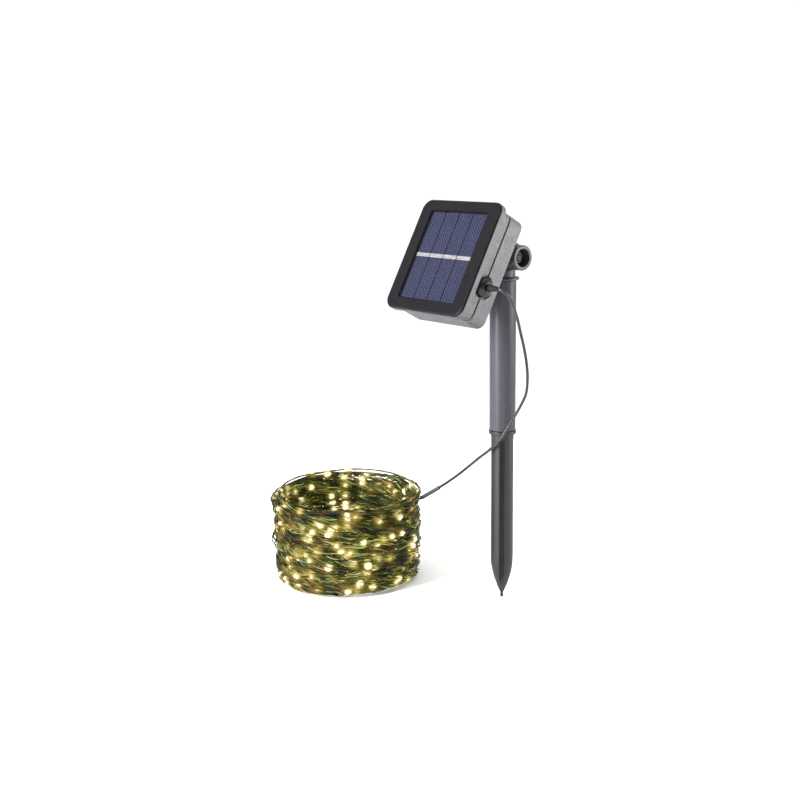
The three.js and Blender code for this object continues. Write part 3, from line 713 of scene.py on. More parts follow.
def add_splice():
    """Shrink sleeve over the joint between the lead and the light wires, drawn in at both ends."""
    route = smooth_route(SPLICE_ROUTE, 0.6)
    t = np.linspace(0, 1, len(route))
    ends = np.clip(np.minimum(t, 1 - t) / 0.06, 0, 1)
    wave = 0.05 * np.sin(t * 40) + 0.04 * np.sin(t * 17 + 1)
    radius = 1.3 + (SPLICE_RADIUS - 1.3 + wave) * np.sqrt(ends)
    return add_piece(
        "splice_shrink_sleeve", tube(route, radius, 20), SLEEVE_LOOK, "stake", "shrink_sleeve",
        ["splice_sleeve"], sharp=60,
    )


# ---------------------------------------------------------------- coiled string of lights
COIL_CENTRE = np.array((-134.0, -65.0))
COIL_HEIGHT = 86
TURNS = 98
POINTS_PER_TURN = 40
TURNS_PER_TRAVERSE = 6.81  # turns from the bottom of the coil to its top
DENSE_HEIGHT = 75  # the coil is wound close up to here, and a few single turns stand above
RIM_TURNS = 8
FAR_SIDE = math.radians(141)  # where those turns stand highest
FIRST_TURN = math.radians(66)  # where the first turn starts
MIDDLE_RADIUS = 59.5  # lamps outside it face out of the coil, the others into it
STRANDS = 5
FINE = 4  # strand points for each point of the centreline
STRAND_RADIUS = 0.5
DROP_PITCH = 118  # millimetres of string from one lamp to the next
DROP_GROUPS = 8


def wandering(rng, positions, low, high, per_unit):
    """Smooth random values between low and high, with per_unit knots for each unit of position."""
    first = math.floor(positions[0] * per_unit)
    count = int(positions[-1] * per_unit) - first + 4
    knots = rng.uniform(low, high, count)
    where = positions * per_unit - first
    cell = np.floor(where).astype(int)
    t = where - cell
    t = t * t * (3 - 2 * t)
    return knots[cell] * (1 - t) + knots[cell + 1] * t


def coil_centreline(rng):
    """Wound string: each turn leans its own way and wanders in and out, inside a ring."""
    turn = np.arange(TURNS * POINTS_PER_TURN) / POINTS_PER_TURN
    angle = FIRST_TURN + 2 * math.pi * turn
    lean = wandering(rng, turn, 5, 24, 0.7) * np.sin(angle + wandering(rng, turn, 0, 9, 0.4))
    traverse = np.abs((turn / TURNS_PER_TRAVERSE) % 2 - 1)
    height = -3 + (DENSE_HEIGHT + 6) * traverse + lean + wandering(rng, turn, -4, 4, 1.1)
    height = np.where(height < 1.8, 3.6 - height, height)
    height = np.where(height > DENSE_HEIGHT, 2 * DENSE_HEIGHT - height, height)
    height = np.clip(height, 1.8, DENSE_HEIGHT)
    height = np.convolve(np.pad(height, 6, mode="edge"), np.hanning(13) / np.hanning(13).sum(), "valid")
    for k in range(RIM_TURNS):
        middle = TURNS * (k + 0.7) / (RIM_TURNS + 0.4)
        lift = np.clip(1.25 - np.abs(turn - middle) / 0.62, 0, 1)
        lift = lift * lift * (3 - 2 * lift)
        back = 0.5 + 0.5 * np.cos(angle - FAR_SIDE)
        rim = 75 + (2 + 5.5 * k / (RIM_TURNS - 1)) * back + 1.3 * np.sin(angle + 2.1 * k)
        height = height * (1 - lift) + np.clip(rim, 0, COIL_HEIGHT - 0.5) * lift
    radius = wandering(rng, turn, 54.8, 65.2, 1.3) + wandering(rng, turn, -0.5, 0.5, 5)
    stray = np.clip(wandering(rng, turn, -9, 4.2, 2.6), 0, None) * np.clip((height - 4) / 12, 0, 1)
    radius = np.clip(radius, 54.6, 65.4) + stray
    settle = np.clip(turn / 0.2, 0, 1)
    height = height * settle + 68 * (1 - settle)
    radius = radius * settle + 62 * (1 - settle)
    place = COIL_CENTRE + radius[:, None] * np.stack([np.cos(angle), np.sin(angle)], axis=1)
    return np.column_stack([place, height])


def entry_curve(first, ahead):
    """Short curve from the sleeve's end into the first turn."""
    end = np.array(SPLICE_ROUTE[-1])
    leaving = unit(end - np.array(SPLICE_ROUTE[1]))
    joining = unit(ahead - first)
    reach = np.linalg.norm(first - end)
    steps = np.linspace(0, 1, 7)[:-1]
    return np.array([curve_point(end, reach * leaving, first, reach * joining, t) for t in steps])


def string_centreline(rng):
    wound = coil_centreline(rng)
    return np.concatenate([entry_curve(wound[0], wound[1]), wound])


def strand_routes(rng, centreline):
    """Loosely twisted wires about the centreline, each with a tone that drifts along it."""
    coarse = np.arange(len(centreline))
    fine = np.linspace(0, len(centreline) - 1, (len(centreline) - 1) * FINE + 1)
    line = places_along(centreline, coarse, fine)
    kernel = np.array((1, 2, 3, 2, 1)) / 9
    for axis in range(3):
        line[:, axis] = np.convolve(np.pad(line[:, axis], 2, mode="edge"), kernel, "valid")
    along = distances_along(line)
    _, across, over = carried_frames(line)
    spread = np.clip(along / 12, 0.25, 1)
    close_on_top = np.clip((81 - line[:, 2]) / 6, 0.25, 1)
    routes = []
    for k in range(STRANDS):
        phase = 2 * math.pi * (along / 30 + k / STRANDS) + wandering(rng, along, -1.6, 1.6, 1 / 22)
        away = wandering(rng, along, 0.5, 2.3, 1 / 14) * spread * close_on_top
        offset = np.cos(phase)[:, None] * across + np.sin(phase)[:, None] * over
        tone = 0.6 * wandering(rng, along, 0, 1, 1 / 45) + 0.4 * wandering(rng, along, 0, 1, 1 / 12)
        routes.append((line + away[:, None] * offset, tone))
    return routes


def drop_shape(rng, centre, direction, outwards):
    """One uneven glue drop about the wires, longer along them, with how lit each point is."""
    rows, columns = 9, 12
    length = rng.uniform(1.9, 4.2)
    thick = length * rng.uniform(0.5, 0.74)
    side = np.cross(direction, outwards)
    side = side / np.linalg.norm(side)
    over = np.cross(side, direction)
    swell = rng.uniform(-0.25, 0.25)
    vertices, lit = [], []
    for i in range(rows + 1):
        t = -1 + 2 * i / rows
        girth = math.sqrt(max(0.0, 1 - t * t)) ** 0.85
        for j in range(columns):
            angle = 2 * math.pi * j / columns
            lump = 0.14 * math.sin(2 * angle + 9 * swell) + 0.1 * math.sin(3 * angle + 5 * t + 20 * swell)
            radius = thick * max(girth, 0.12) * (1 + swell * t) * (1 + lump)
            around = math.cos(angle) * side + math.sin(angle) * over
            vertices.append(centre + direction * length * t + radius * around)
            lit.append(max(0.0, 1 - abs(t) ** 1.6) * (0.78 + 0.22 * math.sin(angle)))
    return (np.array(vertices), capped_faces(rows + 1, columns)), lit


def set_attribute(obj, name, values):
    attribute = obj.data.attributes.new(name, "FLOAT", "POINT")
    attribute.data.foreach_set("value", np.asarray(values, np.float32))


def add_drops(rng, centreline):
    """The lamps: a glue drop at each pitch along the string, in a few groups of pieces."""
    along = distances_along(centreline)
    places = np.arange(150, along[-1] - 50, DROP_PITCH)
    places = places + rng.uniform(-46, 46, len(places))
    centres, shapes = [], []
    for place in places:
        behind, where, ahead = places_along(centreline, along, [place - 4, place, place + 4])
        direction = unit(ahead - behind)
        radial = np.array((*(where[:2] - COIL_CENTRE), 0.0))
        radius = np.linalg.norm(radial)
        outwards = radial / radius * (1 if radius > MIDDLE_RADIUS else -1)
        centre = where + outwards * rng.uniform(-0.4, 1.2)
        centre[2] = np.clip(centre[2], 2.6, COIL_HEIGHT - 1)
        centres.append(centre)
        shapes.append(drop_shape(rng, centre, direction, outwards))
    pieces = []
    for group in range(DROP_GROUPS):
        members = shapes[group::DROP_GROUPS]
        obj = make_object(f"light_drops_{group + 1}", joined(*[shape for shape, _ in members]))
        set_attribute(obj, "core", [value for _, lit in members for value in lit])
        shade(obj, 60)
        obj.data.materials.append(DROP_LOOK)
        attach(obj, "stake")
        pieces.append(obj)
    return pieces, np.array(centres)


def lamp_distances(route, centres):
    """How far each point of a wire is from its nearest lamp."""
    tree = kdtree.KDTree(len(centres))
    for i, centre in enumerate(centres):
        tree.insert(centre, i)
    tree.balance()
    return np.array([tree.find(point)[2] for point in route])


def add_light_string():
    rng = np.random.default_rng(7)
    centreline = string_centreline(rng)
    routes = strand_routes(rng, centreline)
    drops, centres = add_drops(rng, centreline)
    for k, (route, tone) in enumerate(routes):
        obj = make_object(f"light_wire_{k + 1}", tube(route, STRAND_RADIUS, 4))
        distance = lamp_distances(route, centres)
        # how near each point is to a lamp, for the painted lamp light and painted reflections on the wire
        set_attribute(obj, "glow", np.repeat(np.exp(-((distance / 4.6) ** 2)), 4))
        set_attribute(obj, "painted_lamp_halo", np.repeat(np.exp(-((distance / 12) ** 2)), 4))
        set_attribute(obj, "tone", np.repeat(tone, 4))
        shade(obj, 180)
        obj.data.materials.append(WIRE_LOOK)
        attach(obj, "stake")
    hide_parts("light_string_coil")


# ---------------------------------------------------------------- solar cells
PANEL_HALF = (45.5, 47.5, 9.0)  # half width, half height and corner radius of the front frame
BODY_HALF = (40.5, 45.3, 7.0)
CAVITY_HALF = (38.3, 43.1, 4.8)
POCKET_HALF = (32.7, 38.2, 1.2)
LAMINATE_HALF = (32.55, 38.05, 1.05)
CELL_AREA_WIDTH = 63
CELL_HALF_HEIGHT = 37
CELL_COUNT = 4
CELL_PITCH = CELL_AREA_WIDTH / CELL_COUNT
CELL_WIDTH = CELL_PITCH - 0.9


def slab(half, front, back, edge=0.12):
    """Flat plate with softened edges, from front down to back."""
    half_width, half_height, radius = half
    corners = [
        (half_width - 1, half_height - 1, radius, front, 0),
        (half_width, half_height, radius, front, edge),
        (half_width, half_height, radius, back, edge),
        (half_width - 1, half_height - 1, radius, back, 0),
    ]
    return loft(filleted(corners, 2), steps=4)


def ribbon_shape(middle, length, last):
    """Flat ribbon with two raised solder lines along it; the last one runs out to a point."""
    section = [
        (-1.6, 0.0), (-1.45, 0.14), (-1.2, 0.26), (-0.85, 0.28), (-0.55, 0.16), (0.0, 0.12),
        (0.55, 0.16), (0.85, 0.28), (1.2, 0.26), (1.45, 0.14), (1.6, 0.0),
    ]
    left, right = middle - length / 2, middle + length / 2
    stations = [(left, 0.86), (left + 0.3, 1.0), (right - 0.3, 1.0), (right, 0.86)]
    if last:
        stations = stations[:-1] + [(right + 0.5, 0.6), (right + 1.1, 0.12)]
    vertices, count = [], len(section) + 1
    for x, share in stations:
        vertices += [(x, y * share, -1.5 + z) for y, z in section]
        vertices.append((x, 0.0, -1.5))
    return np.array(vertices), capped_faces(len(stations), count)


def add_solar_laminate():
    window, board = slab(LAMINATE_HALF, -0.1, -0.9), slab(LAMINATE_HALF, -2.5, -3.7)
    add_panel_piece("panel_clear_window", window, RESIN, "clear_resin", ["panel_window"])
    add_panel_piece("cell_backing_board", board, BOARD_LOOK, "cell_board", ["solar_backplate"])
    for i in range(CELL_COUNT):
        middle = (i - (CELL_COUNT - 1) / 2) * CELL_PITCH
        cell = moved(slab((CELL_WIDTH / 2, CELL_HALF_HEIGHT, 0.25), -1.8, -2.2, 0.05), x=middle)
        ribbon = ribbon_shape(middle, CELL_WIDTH + 0.1, i == CELL_COUNT - 1)
        number = i + 1
        add_panel_piece(f"silicon_cell_{number}", cell, CELL_LOOK, "cell_silicon", [f"solar_cell_{number}"])
        add_panel_piece(
            f"tinned_ribbon_{number}", ribbon, RIBBON_LOOK, "cell_ribbon", [f"cell_ribbon_{number}"]
        )


# ---------------------------------------------------------------- housing
FLANGE_BACK = -6.4
SEAM_FRONT = -16.3
SEAM_BACK = -17.6
BODY_BACK = -32.5
CAVITY_FRONT = -6.2
CAVITY_BACK = -30.3
POST = (34.6, 39.3, 3.3)
SCREW_HOLE = 1.6
GLAND_AT = (-16.0, -17.0)
BUTTON_AT = (10.0, -6.0)
BRACKET_SCREW_AT = (18.5, 9.5)
BRACKET_HOLE = 1.75


def four(x, y):
    return [(x, y), (-x, y), (-x, -y), (x, -y)]


def cylinder(radius, low, high, segments=32):
    return turned([(0, low), (radius, low), (radius, high), (0, high)], segments)


def gland_opening():
    """Cutter for the gland's hole, half in each shell, with a shallow round recess about it."""
    side = BODY_HALF[0]
    profile = [
        (0, side - 6), (5.9, side - 6), (5.9, side - 1.6), (9.4, side - 1.6), (9.4, side + 2), (0, side + 2),
    ]
    return moved(along_x(turned(profile, 64)), y=GLAND_AT[0], z=GLAND_AT[1])


def add_front_shell():
    rim = (PANEL_HALF[0] - 4.2, PANEL_HALF[1] - 4.2, PANEL_HALF[2] - 4.2)
    corners = [
        (*POCKET_HALF, -4.0, 0),
        (*POCKET_HALF, 0.0, 0.25),
        (*rim, 0.0, 0),
        (*PANEL_HALF, 0.0, 2.6),
        (*PANEL_HALF, FLANGE_BACK, 0.5),
        (*BODY_HALF, FLANGE_BACK, 0.6),
        (*BODY_HALF, SEAM_FRONT, 0.35),
        (*CAVITY_HALF, SEAM_FRONT, 0.2),
        (*CAVITY_HALF, CAVITY_FRONT, 0.6),
        (30, 33, 4, CAVITY_FRONT, 0),
    ]
    posts = [moved(cylinder(POST[2], SEAM_FRONT, CAVITY_FRONT + 0.5), x, y) for x, y in four(*POST[:2])]
    holes = [moved(cylinder(SCREW_HOLE, SEAM_FRONT - 1, -8.4, 24), x, y) for x, y in four(*POST[:2])]
    shell = add_panel_piece(
        "front_shell_moulding", loft(filleted(corners, 6)), SHELL, "housing_plastic", ["front_shell"],
        add=posts, cut=holes + [gland_opening()],
    )
    shell.data.materials.append(FACE)
    for polygon in shell.data.polygons:
        x, y, z = (c / MM for c in polygon.center)
        inside = abs(x) < rim[0] + 0.5 and abs(y) < rim[1] + 0.5
        polygon.material_index = int(z > -1.9 or (z > -4.5 and inside))


def add_rear_shell():
    corners = [
        (36.5, 41.3, 3.6, BODY_BACK, 0),
        (*BODY_HALF, BODY_BACK, 2.3),
        (*BODY_HALF, SEAM_BACK, 0.35),
        (*CAVITY_HALF, SEAM_BACK, 0.2),
        (*CAVITY_HALF, CAVITY_BACK, 0.6),
        (34, 37, 2, CAVITY_BACK, 0),
    ]
    posts = [moved(cylinder(POST[2], CAVITY_BACK - 0.5, SEAM_BACK), x, y) for x, y in four(*POST[:2])]
    cutters = [gland_opening()]
    for x, y in four(*POST[:2]):
        cutters.append(moved(cylinder(SCREW_HOLE, BODY_BACK - 1, SEAM_BACK + 1, 24), x, y))
        cutters.append(moved(cylinder(2.8, BODY_BACK - 1, -29.6), x, y))
    for side in (-1, 1):
        hole = cylinder(4.3, BODY_BACK - 1, CAVITY_BACK + 1, 48)
        cutters.append(moved(hole, side * BUTTON_AT[0], BUTTON_AT[1]))
    for x, y in four(*BRACKET_SCREW_AT):
        hole = cylinder(BRACKET_HOLE, BODY_BACK - 1, CAVITY_BACK + 1, 24)
        cutters.append(moved(hole, x, CENTRE_BELOW_PIVOT + y))
    add_panel_piece(
        "rear_shell_moulding", loft(filleted(corners, 6)), SHELL, "housing_plastic", ["rear_shell"],
        add=posts, cut=cutters,
    )


def add_gasket():
    outer = (BODY_HALF[0] - 0.7, BODY_HALF[1] - 0.7, BODY_HALF[2] - 0.7)
    front, back = SEAM_FRONT - GAP, SEAM_BACK + GAP
    rings = [rounded_rectangle(*half, depth) for half, depth in
             ((outer, back), (outer, front), (CAVITY_HALF, front), (CAVITY_HALF, back))]
    shape = (np.concatenate(rings), ring_faces(4, len(rings[0]), closed=True))
    add_panel_piece("seam_gasket", shape, RUBBER, "seal_rubber", ["housing_gasket"], cut=[gland_opening()])


def cross_recess(head_back, depth, arm=1.55, half=0.36):
    """Cutter for a cross-shaped driver recess, in from head_back towards plus z."""
    bars = []
    for long, short in ((arm, half), (half, arm)):
        corners = [(long, short, 0.05, head_back - 1), (long, short, 0.05, head_back + depth * 0.55),
                   (long * 0.45, short * 0.45, 0.02, head_back + depth)]
        bars.append(loft(corners, steps=2))
    return bars


def screw_shape(head, shank, head_back, head_front, tip):
    """Pan-head screw with its head at the back and a ringed thread."""
    corners = [(0, head_back, 0), (head * 0.72, head_back, 0.3), (head, head_back + 0.5, 0.3),
               (head, head_front, 0.15), (shank, head_front, 0)]
    profile = filleted(corners, 3)
    pitch = 1.0
    thread = head_front + 0.6
    while thread + pitch < tip - 1.2:
        profile += [(shank * 0.8, thread), (shank, thread + pitch * 0.45), (shank, thread + pitch * 0.6)]
        thread += pitch
    profile += [(shank * 0.75, tip - 1), (0.2, tip), (0, tip)]
    return turned(profile, 32)


def add_housing_screws():
    for i, (x, y) in enumerate(four(*POST[:2])):
        screw = moved(screw_shape(2.5, 1.3, -31.9, -29.9, -8.8), x, y)
        recess = [moved(bar, x, y) for bar in cross_recess(-31.9, 1.1)]
        add_panel_piece(
            f"case_screw_{i + 1}", screw, STEEL, "zinc_steel", [f"housing_screw_{i + 1}"], cut=recess
        )


# ---------------------------------------------------------------- cable gland, strain relief and buttons
def add_gland():
    side = BODY_HALF[0]
    inside = side - 2.5
    corners = [
        (0, inside - 1.4, 0),
        (7.2, inside - 1.4, 0.3),
        (7.2, inside, 0.2),
        (5.6, inside, 0.1),
        (5.6, side - 1.3, 0.1),
        (8.0, side - 1.3, 0.15),
        (8.0, side + 0.5, 0.5),
        (7.7, side + 1.3, 0.6),
        (6.6, side + 3.2, 1.2),
        (4.6, side + 4.5, 0.9),
        (3.7, side + 4.8, 0.3),
        (3.5, side + 4.3, 0.2),
        (3.0, side + 4.2, 0.1),
        (0, side + 4.2, 0),
    ]
    dome = moved(along_x(turned(filleted(corners, 5), 72)), y=GLAND_AT[0], z=GLAND_AT[1])
    add_panel_piece("gland_dome", dome, GLAND_LOOK, "housing_plastic", ["cable_gland"])


def add_strain_relief():
    """Tapered rubber boot with rings cut round it, and a bore that the lead comes out of."""
    side = BODY_HALF[0]
    start, end = side + 4.6, side + 15
    outer = [(1.3, start, 0), (2.8, start, 0.25)]
    rings = 5
    for k in range(rings):
        low = start + 0.7 + (end - start - 1.6) * k / rings
        radius = 2.9 - 1.15 * (low - start) / (end - start)
        outer += [(radius, low, 0.15), (radius - 0.05, low + 1.0, 0.15),
                  (radius - 0.55, low + 1.15, 0.1), (radius - 0.6, low + 1.6, 0.1)]
    outer += [(1.75, end - 0.9, 0.15), (1.7, end, 0.2), (1.27, end, 0)]
    profile = filleted(outer, 3)
    boot = moved(along_x(turned(profile, 40, closed=True)), y=GLAND_AT[0], z=GLAND_AT[1])
    return add_panel_piece("gland_rubber_boot", boot, RUBBER, "seal_rubber", ["strain_relief"])


def add_buttons():
    for side, name in ((-1, "power_button"), (1, "mode_button")):
        inner = CAVITY_BACK + GAP
        corners = [
            (0, inner + 0.7, 0),
            (5.2, inner + 0.7, 0.2),
            (5.2, inner, 0.2),
            (4.0, inner, 0.2),
            (4.0, BODY_BACK - 1.2, 0.7),
            (2.9, BODY_BACK - 1.5, 0.2),
            (2.6, BODY_BACK - 1.25, 0.15),
            (1.6, BODY_BACK - 1.2, 0.3),
            (0, BODY_BACK - 1.35, 0),
        ]
        cap = moved(turned(filleted(corners, 4), 56), side * BUTTON_AT[0], BUTTON_AT[1])
        add_piece(f"{name}_cap", cap, RUBBER, name, "seal_rubber", [name], place=PANEL_FRAME)


# ---------------------------------------------------------------- tilt bracket and its hinge bolt
BARREL_RADIUS = 10.2
BARREL_HALF_LENGTH = 23
EAR = (8.5, 15.5)
RECESS = (7.2, 13)
BOLT_RADIUS = 2.5
BRACKET_BACK = BODY_BACK - GAP - 3


def at_pivot(shape):
    return moved(shape, y=CENTRE_BELOW_PIVOT, z=-FACE_FROM_PIVOT)


def ear_shape(inner, outer):
    """Side wall of the bracket: the hinge barrel's circle with straight sides down to the plate."""
    base, half = BRACKET_BACK + FACE_FROM_PIVOT + 0.5, 12
    start = math.atan2(half, base) + math.acos(BARREL_RADIUS / math.hypot(half, base))
    outline = [(base, -half), (base, half)]
    steps = 40
    for i in range(steps + 1):
        angle = start + (2 * math.pi - 2 * start) * i / steps
        outline.append((BARREL_RADIUS * math.cos(angle), BARREL_RADIUS * math.sin(angle)))
    vertices = [(x, y, z) for x in (inner, outer) for z, y in outline]
    return np.array(vertices), capped_faces(2, len(outline))


def boss_shape(side):
    """Hinge barrel outside one ear, with a groove round it and a rounded rim."""
    corners = [
        (0, 9.0, 0),
        (BARREL_RADIUS, 9.0, 0),
        (BARREL_RADIUS, 17.3, 0.2),
        (BARREL_RADIUS - 1.1, 17.6, 0.2),
        (BARREL_RADIUS - 1.1, 18.9, 0.2),
        (BARREL_RADIUS, 19.2, 0.3),
        (BARREL_RADIUS, BARREL_HALF_LENGTH, 0.9),
        (RECESS[0], BARREL_HALF_LENGTH, 0.5),
        (RECESS[0], RECESS[1], 0.3),
        (0, RECESS[1], 0),
    ]
    profile = filleted(corners, 4)
    return along_x(turned([(radius, side * x) for radius, x in profile], 96))


def add_bracket():
    plate_front = BODY_BACK - GAP
    plate = [
        (22, 13.5, 2.5, BRACKET_BACK, 0),
        (23, 14.5, 3, BRACKET_BACK, 0.6),
        (23, 14.5, 3, plate_front, 0.2),
        (22, 13.5, 2.5, plate_front, 0),
    ]
    plate = moved(loft(filleted(plate, 4)), y=CENTRE_BELOW_PIVOT)
    ears = [at_pivot(ear_shape(*((side * x) for x in EAR))) for side in (-1, 1)]
    bosses = [at_pivot(boss_shape(side)) for side in (-1, 1)]
    recesses = [
        at_pivot(along_x(cylinder(RECESS[0] - 0.05, side * RECESS[1], side * 16, 96))) for side in (-1, 1)
    ]
    bore = at_pivot(along_x(cylinder(BOLT_RADIUS + GAP, -20, 20, 40)))
    holes = [
        moved(cylinder(BRACKET_HOLE, BRACKET_BACK - 1, plate_front + 1, 24), x, CENTRE_BELOW_PIVOT + y)
        for x, y in four(*BRACKET_SCREW_AT)
    ]
    add_panel_piece(
        "tilt_bracket", plate, BRACKET_LOOK, "bracket_plastic", ["panel_bracket"],
        add=ears + bosses, cut=recesses + [bore] + holes,
    )
    under = BRACKET_BACK - GAP
    for i, (x, y) in enumerate(four(*BRACKET_SCREW_AT)):
        y = CENTRE_BELOW_PIVOT + y
        screw = moved(screw_shape(2.7, 1.45, under - 1.9, under, CAVITY_BACK + 1.6), x, y)
        recess = [moved(bar, x, y) for bar in cross_recess(under - 1.9, 1.1)]
        add_panel_piece(
            f"plate_screw_{i + 1}", screw, STEEL, "zinc_steel", [f"bracket_screw_{i + 1}"], cut=recess
        )


def hexagon(across_flats, low, high):
    return cylinder(across_flats / 2 / math.cos(math.pi / 6), low, high, 6)


def add_hinge_bolt():
    washer_outside = RECESS[1] + GAP + 1
    head_start = -washer_outside - GAP
    head_end = head_start - 3.6
    bolt = [(0, head_end, 0), (3.6, head_end, 0.7), (4.6, head_end + 1.1, 0.6), (4.6, head_start, 0.2),
            (BOLT_RADIUS, head_start, 0)]
    profile = filleted(bolt, 4)
    x = 11.0
    pitch = 0.8
    profile.append((BOLT_RADIUS, x))
    while x + pitch < washer_outside + GAP + 3.6:
        profile += [(BOLT_RADIUS - 0.35, x + pitch * 0.35), (BOLT_RADIUS, x + pitch * 0.7),
                    (BOLT_RADIUS, x + pitch * 0.85)]
        x += pitch
    profile += [(BOLT_RADIUS - 0.4, washer_outside + GAP + 4.0), (0, washer_outside + GAP + 4.0)]
    bars = [at_pivot(along_x(bar)) for bar in cross_recess(head_end, 1.9, arm=2.4, half=0.5)]
    bolt = at_pivot(along_x(turned(profile, 64)))
    # the bolt, nut and washers use the steel darkened with painted shade
    add_panel_piece("hinge_bolt", bolt, SHADE_DARKENED_STEEL, "zinc_steel", ["tilt_bolt"], cut=bars)
    nut = at_pivot(along_x(hexagon(8.6, washer_outside + GAP, washer_outside + GAP + 3.6)))
    hole = at_pivot(along_x(cylinder(BOLT_RADIUS + 0.12, 0, 30, 48)))
    add_panel_piece("hinge_nut", nut, SHADE_DARKENED_STEEL, "zinc_steel", ["tilt_nut"], cut=[hole], bevel=0.35)
    for i, side in enumerate((1, -1)):
        near, far = side * (RECESS[1] + GAP), side * washer_outside
        ring = [(6.4, near), (6.4, far), (BOLT_RADIUS + GAP, far), (BOLT_RADIUS + GAP, near)]
        washer = at_pivot(along_x(turned(ring, 64, closed=True)))
        add_panel_piece(
            f"hinge_washer_{i + 1}", washer, SHADE_DARKENED_STEEL, "zinc_steel", [f"tilt_washer_{i + 1}"], bevel=0.12
        )


# ---------------------------------------------------------------- stake
TUBE_RADIUS = 11
TUBE_BORE = 9.7
LOWER_COLLAR_TOP = 149
UPPER_COLLAR_BOTTOM = 275
SPIKE_RADIUS = 9.6
COLLAR_RADIUS = 11.5
HEAD_FLANGE_RADIUS = 13.3
KNUCKLE_HALF = 8.2


def add_stake_head():
    bottom, plug = UPPER_COLLAR_BOTTOM, TUBE_BORE - GAP
    neck_top = PIVOT_HEIGHT - BARREL_RADIUS
    corners = [
        (0, bottom - 18, 0),
        (plug, bottom - 18, 0.9),
        (plug, bottom, 0),
        (HEAD_FLANGE_RADIUS, bottom, 0.7),
        (HEAD_FLANGE_RADIUS, bottom + 2.2, 0.9),
        (BARREL_RADIUS, bottom + 2.4, 0.5),
        (BARREL_RADIUS, neck_top - 2 * GAP, 0.3),
        (KNUCKLE_HALF, neck_top - GAP, 0.1),
        (KNUCKLE_HALF, PIVOT_HEIGHT - 5, 0),
        (0, PIVOT_HEIGHT - 5, 0),
    ]
    barrel = [(0, -KNUCKLE_HALF, 0), (BARREL_RADIUS, -KNUCKLE_HALF, 0.4), (BARREL_RADIUS, KNUCKLE_HALF, 0.4),
              (0, KNUCKLE_HALF, 0)]
    knuckle = moved(along_x(turned(filleted(barrel, 3), 96)), z=PIVOT_HEIGHT)
    bore = moved(along_x(cylinder(BOLT_RADIUS + GAP, -20, 20, 40)), z=PIVOT_HEIGHT)
    add_piece("stake_top_knuckle", turned(filleted(corners, 4), 96), BRACKET_LOOK, "head", "bracket_plastic",
              ["stake_head"], add=[knuckle], cut=[bore])


def add_stake_tube():
    low, high = LOWER_COLLAR_TOP + GAP, UPPER_COLLAR_BOTTOM - GAP
    corners = [(TUBE_BORE, low), (TUBE_RADIUS - 0.25, low), (TUBE_RADIUS, low + 0.25),
               (TUBE_RADIUS, high - 0.25), (TUBE_RADIUS - 0.25, high), (TUBE_BORE, high)]
    pipe = turned(corners, 96, closed=True)
    add_piece("stake_pipe", pipe, TUBE_LOOK, "stake", "stake_plastic", ["stake_tube"])


def add_spike():
    top, bottom = LOWER_COLLAR_TOP, LOWER_COLLAR_TOP - 3.2
    nose_low, nose_high = 4.4, 36
    profile = [(0, 0), (0.7, 0.15), (1.2, 0.6), (1.5, 1.6), (1.25, 3)]
    steps = 16
    for i in range(steps + 1):
        t = i / steps
        radius = 1.3 + (SPIKE_RADIUS - 1.3) * math.sin(math.pi / 2 * t) ** 0.9
        profile.append((radius, nose_low + (nose_high - nose_low) * t))
    plug = TUBE_BORE - GAP
    collar = filleted(
        [
            (SPIKE_RADIUS, bottom - 2, 0),
            (SPIKE_RADIUS, bottom, 0.4),
            (COLLAR_RADIUS, bottom, 0.6),
            (COLLAR_RADIUS, top, 0.6),
            (plug, top, 0),
            (plug, top + 18, 0.8),
            (0, top + 18, 0),
        ]
    )
    profile += collar
    slots = []
    for angle in (45, 135, 225, 315):
        vertices, faces = loft([(6, 2.1, 0.3, -2), (6, 2.1, 0.3, bottom - 4)], steps=3)
        vertices = vertices + np.array((4.6 + 6, 0, 0))
        turn = np.array(Matrix.Rotation(math.radians(angle), 3, "Z"))
        slots.append((vertices @ turn.T, faces))
    add_piece(
        "ground_spike_moulding", turned(profile, 96), SPIKE_LOOK, "stake", "spike_plastic", ["ground_spike"],
        cut=slots, bevel=0.3,
    )


# ---------------------------------------------------------------- pieces inside the housing
def dress_inner_nodes():
    """The CAD pieces inside the housing keep their shapes and get real materials."""
    looks = {
        "battery_holder": HOLDER_LOOK, "battery_cell": BATTERY_LOOK, "battery_spring": STEEL,
        "battery_contact": STEEL, "circuit_board": LAMINATE_LOOK, "controller_chip": HOLDER_LOOK,
        "inductor": HOLDER_LOOK, "capacitor": BATTERY_LOOK, "power_switch": HOLDER_LOOK,
        "mode_switch": HOLDER_LOOK, "solar_wire_plus": RED_LOOK, "solar_wire_minus": BLACK_LOOK,
    }
    for name, look in looks.items():
        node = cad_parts[name]
        for place in node.material_slots:
            place.material = look


# ---------------------------------------------------------------- floor, lights and background
FLOOR_HALF = 9000
FLOOR_HEIGHT = -0.4
TOWARDS_BACKDROP = (-0.776, 0.631, 0.0)


def add_floor():
    far = FLOOR_HALF
    corners = [(x, y, FLOOR_HEIGHT) for x, y in ((-far, -far), (far, -far), (far, far), (-far, far))]
    floor = make_object("floor", (corners, [[0, 1, 2, 3]]))
    look = Look("floor_paper", roughness=0.9)
    look.colour(look.ramp(look.noise(60, 2.0), (0.3, (0.90, 0.90, 0.90)), (0.7, (0.92, 0.92, 0.92))))
    floor.data.materials.append(look.material)


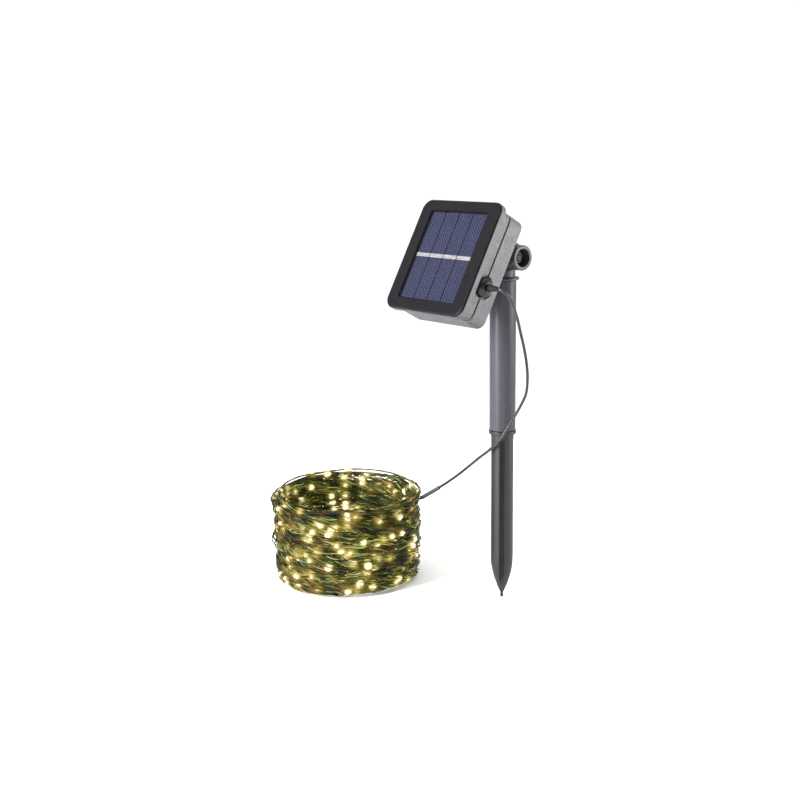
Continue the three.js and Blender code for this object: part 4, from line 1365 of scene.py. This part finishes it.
def add_softbox(name, place, aim, size, power):
    light = bpy.data.objects.new(name, bpy.data.lights.new(name, "AREA"))
    light.data.shape = "RECTANGLE"
    light.data.size, light.data.size_y = size
    light.data.energy = power
    light.location = place
    light.rotation_euler = (Vector(aim) - Vector(place)).to_track_quat("-Z", "Y").to_euler()
    bpy.context.scene.collection.objects.link(light)


def add_world():
    """White towards the backdrop behind the object, falling to a pale grey on the other side."""
    world = bpy.data.worlds.new("studio")
    world.use_nodes = True
    tree = world.node_tree
    background = tree.nodes["Background"]
    direction = tree.nodes.new("ShaderNodeTexCoord")
    facing = tree.nodes.new("ShaderNodeVectorMath")
    facing.operation = "DOT_PRODUCT"
    facing.inputs[1].default_value = TOWARDS_BACKDROP
    strength = tree.nodes.new("ShaderNodeMapRange")
    strength.interpolation_type = "SMOOTHSTEP"
    for key, value in (("From Min", -0.3), ("From Max", 0.85), ("To Min", 0.26), ("To Max", 1.1)):
        strength.inputs[key].default_value = value
    tree.links.new(direction.outputs["Generated"], facing.inputs[0])
    tree.links.new(facing.outputs["Value"], strength.inputs["Value"])
    tree.links.new(strength.outputs["Result"], background.inputs["Strength"])
    background.inputs["Color"].default_value = (1, 1, 1, 1)
    bpy.context.scene.world = world
    bpy.context.scene.view_settings.view_transform = "Standard"


def add_lights():
    add_softbox("right_softbox", (1.15, 1.05, 0.3), (0, 0, 0.2), (0.8, 1.0), 30)
    add_softbox("front_softbox", (-0.15, -1.5, 0.55), (0, 0, 0.2), (0.17, 0.95), 75)
    overhead = bpy.data.objects.new("overhead", bpy.data.lights.new("overhead", "SUN"))
    overhead.data.energy = 2.0
    overhead.data.angle = math.radians(80)
    bpy.context.scene.collection.objects.link(overhead)


add_camera()
upper_run, lower_run = lead_runs()
add_lead(upper_run, lower_run, add_strain_relief(), add_splice())
add_light_string()
add_solar_laminate()
add_front_shell()
add_rear_shell()
add_gasket()
add_housing_screws()
add_gland()
add_buttons()
add_bracket()
add_hinge_bolt()
add_stake_head()
add_stake_tube()
add_spike()
dress_inner_nodes()
add_floor()
add_world()
add_lights()
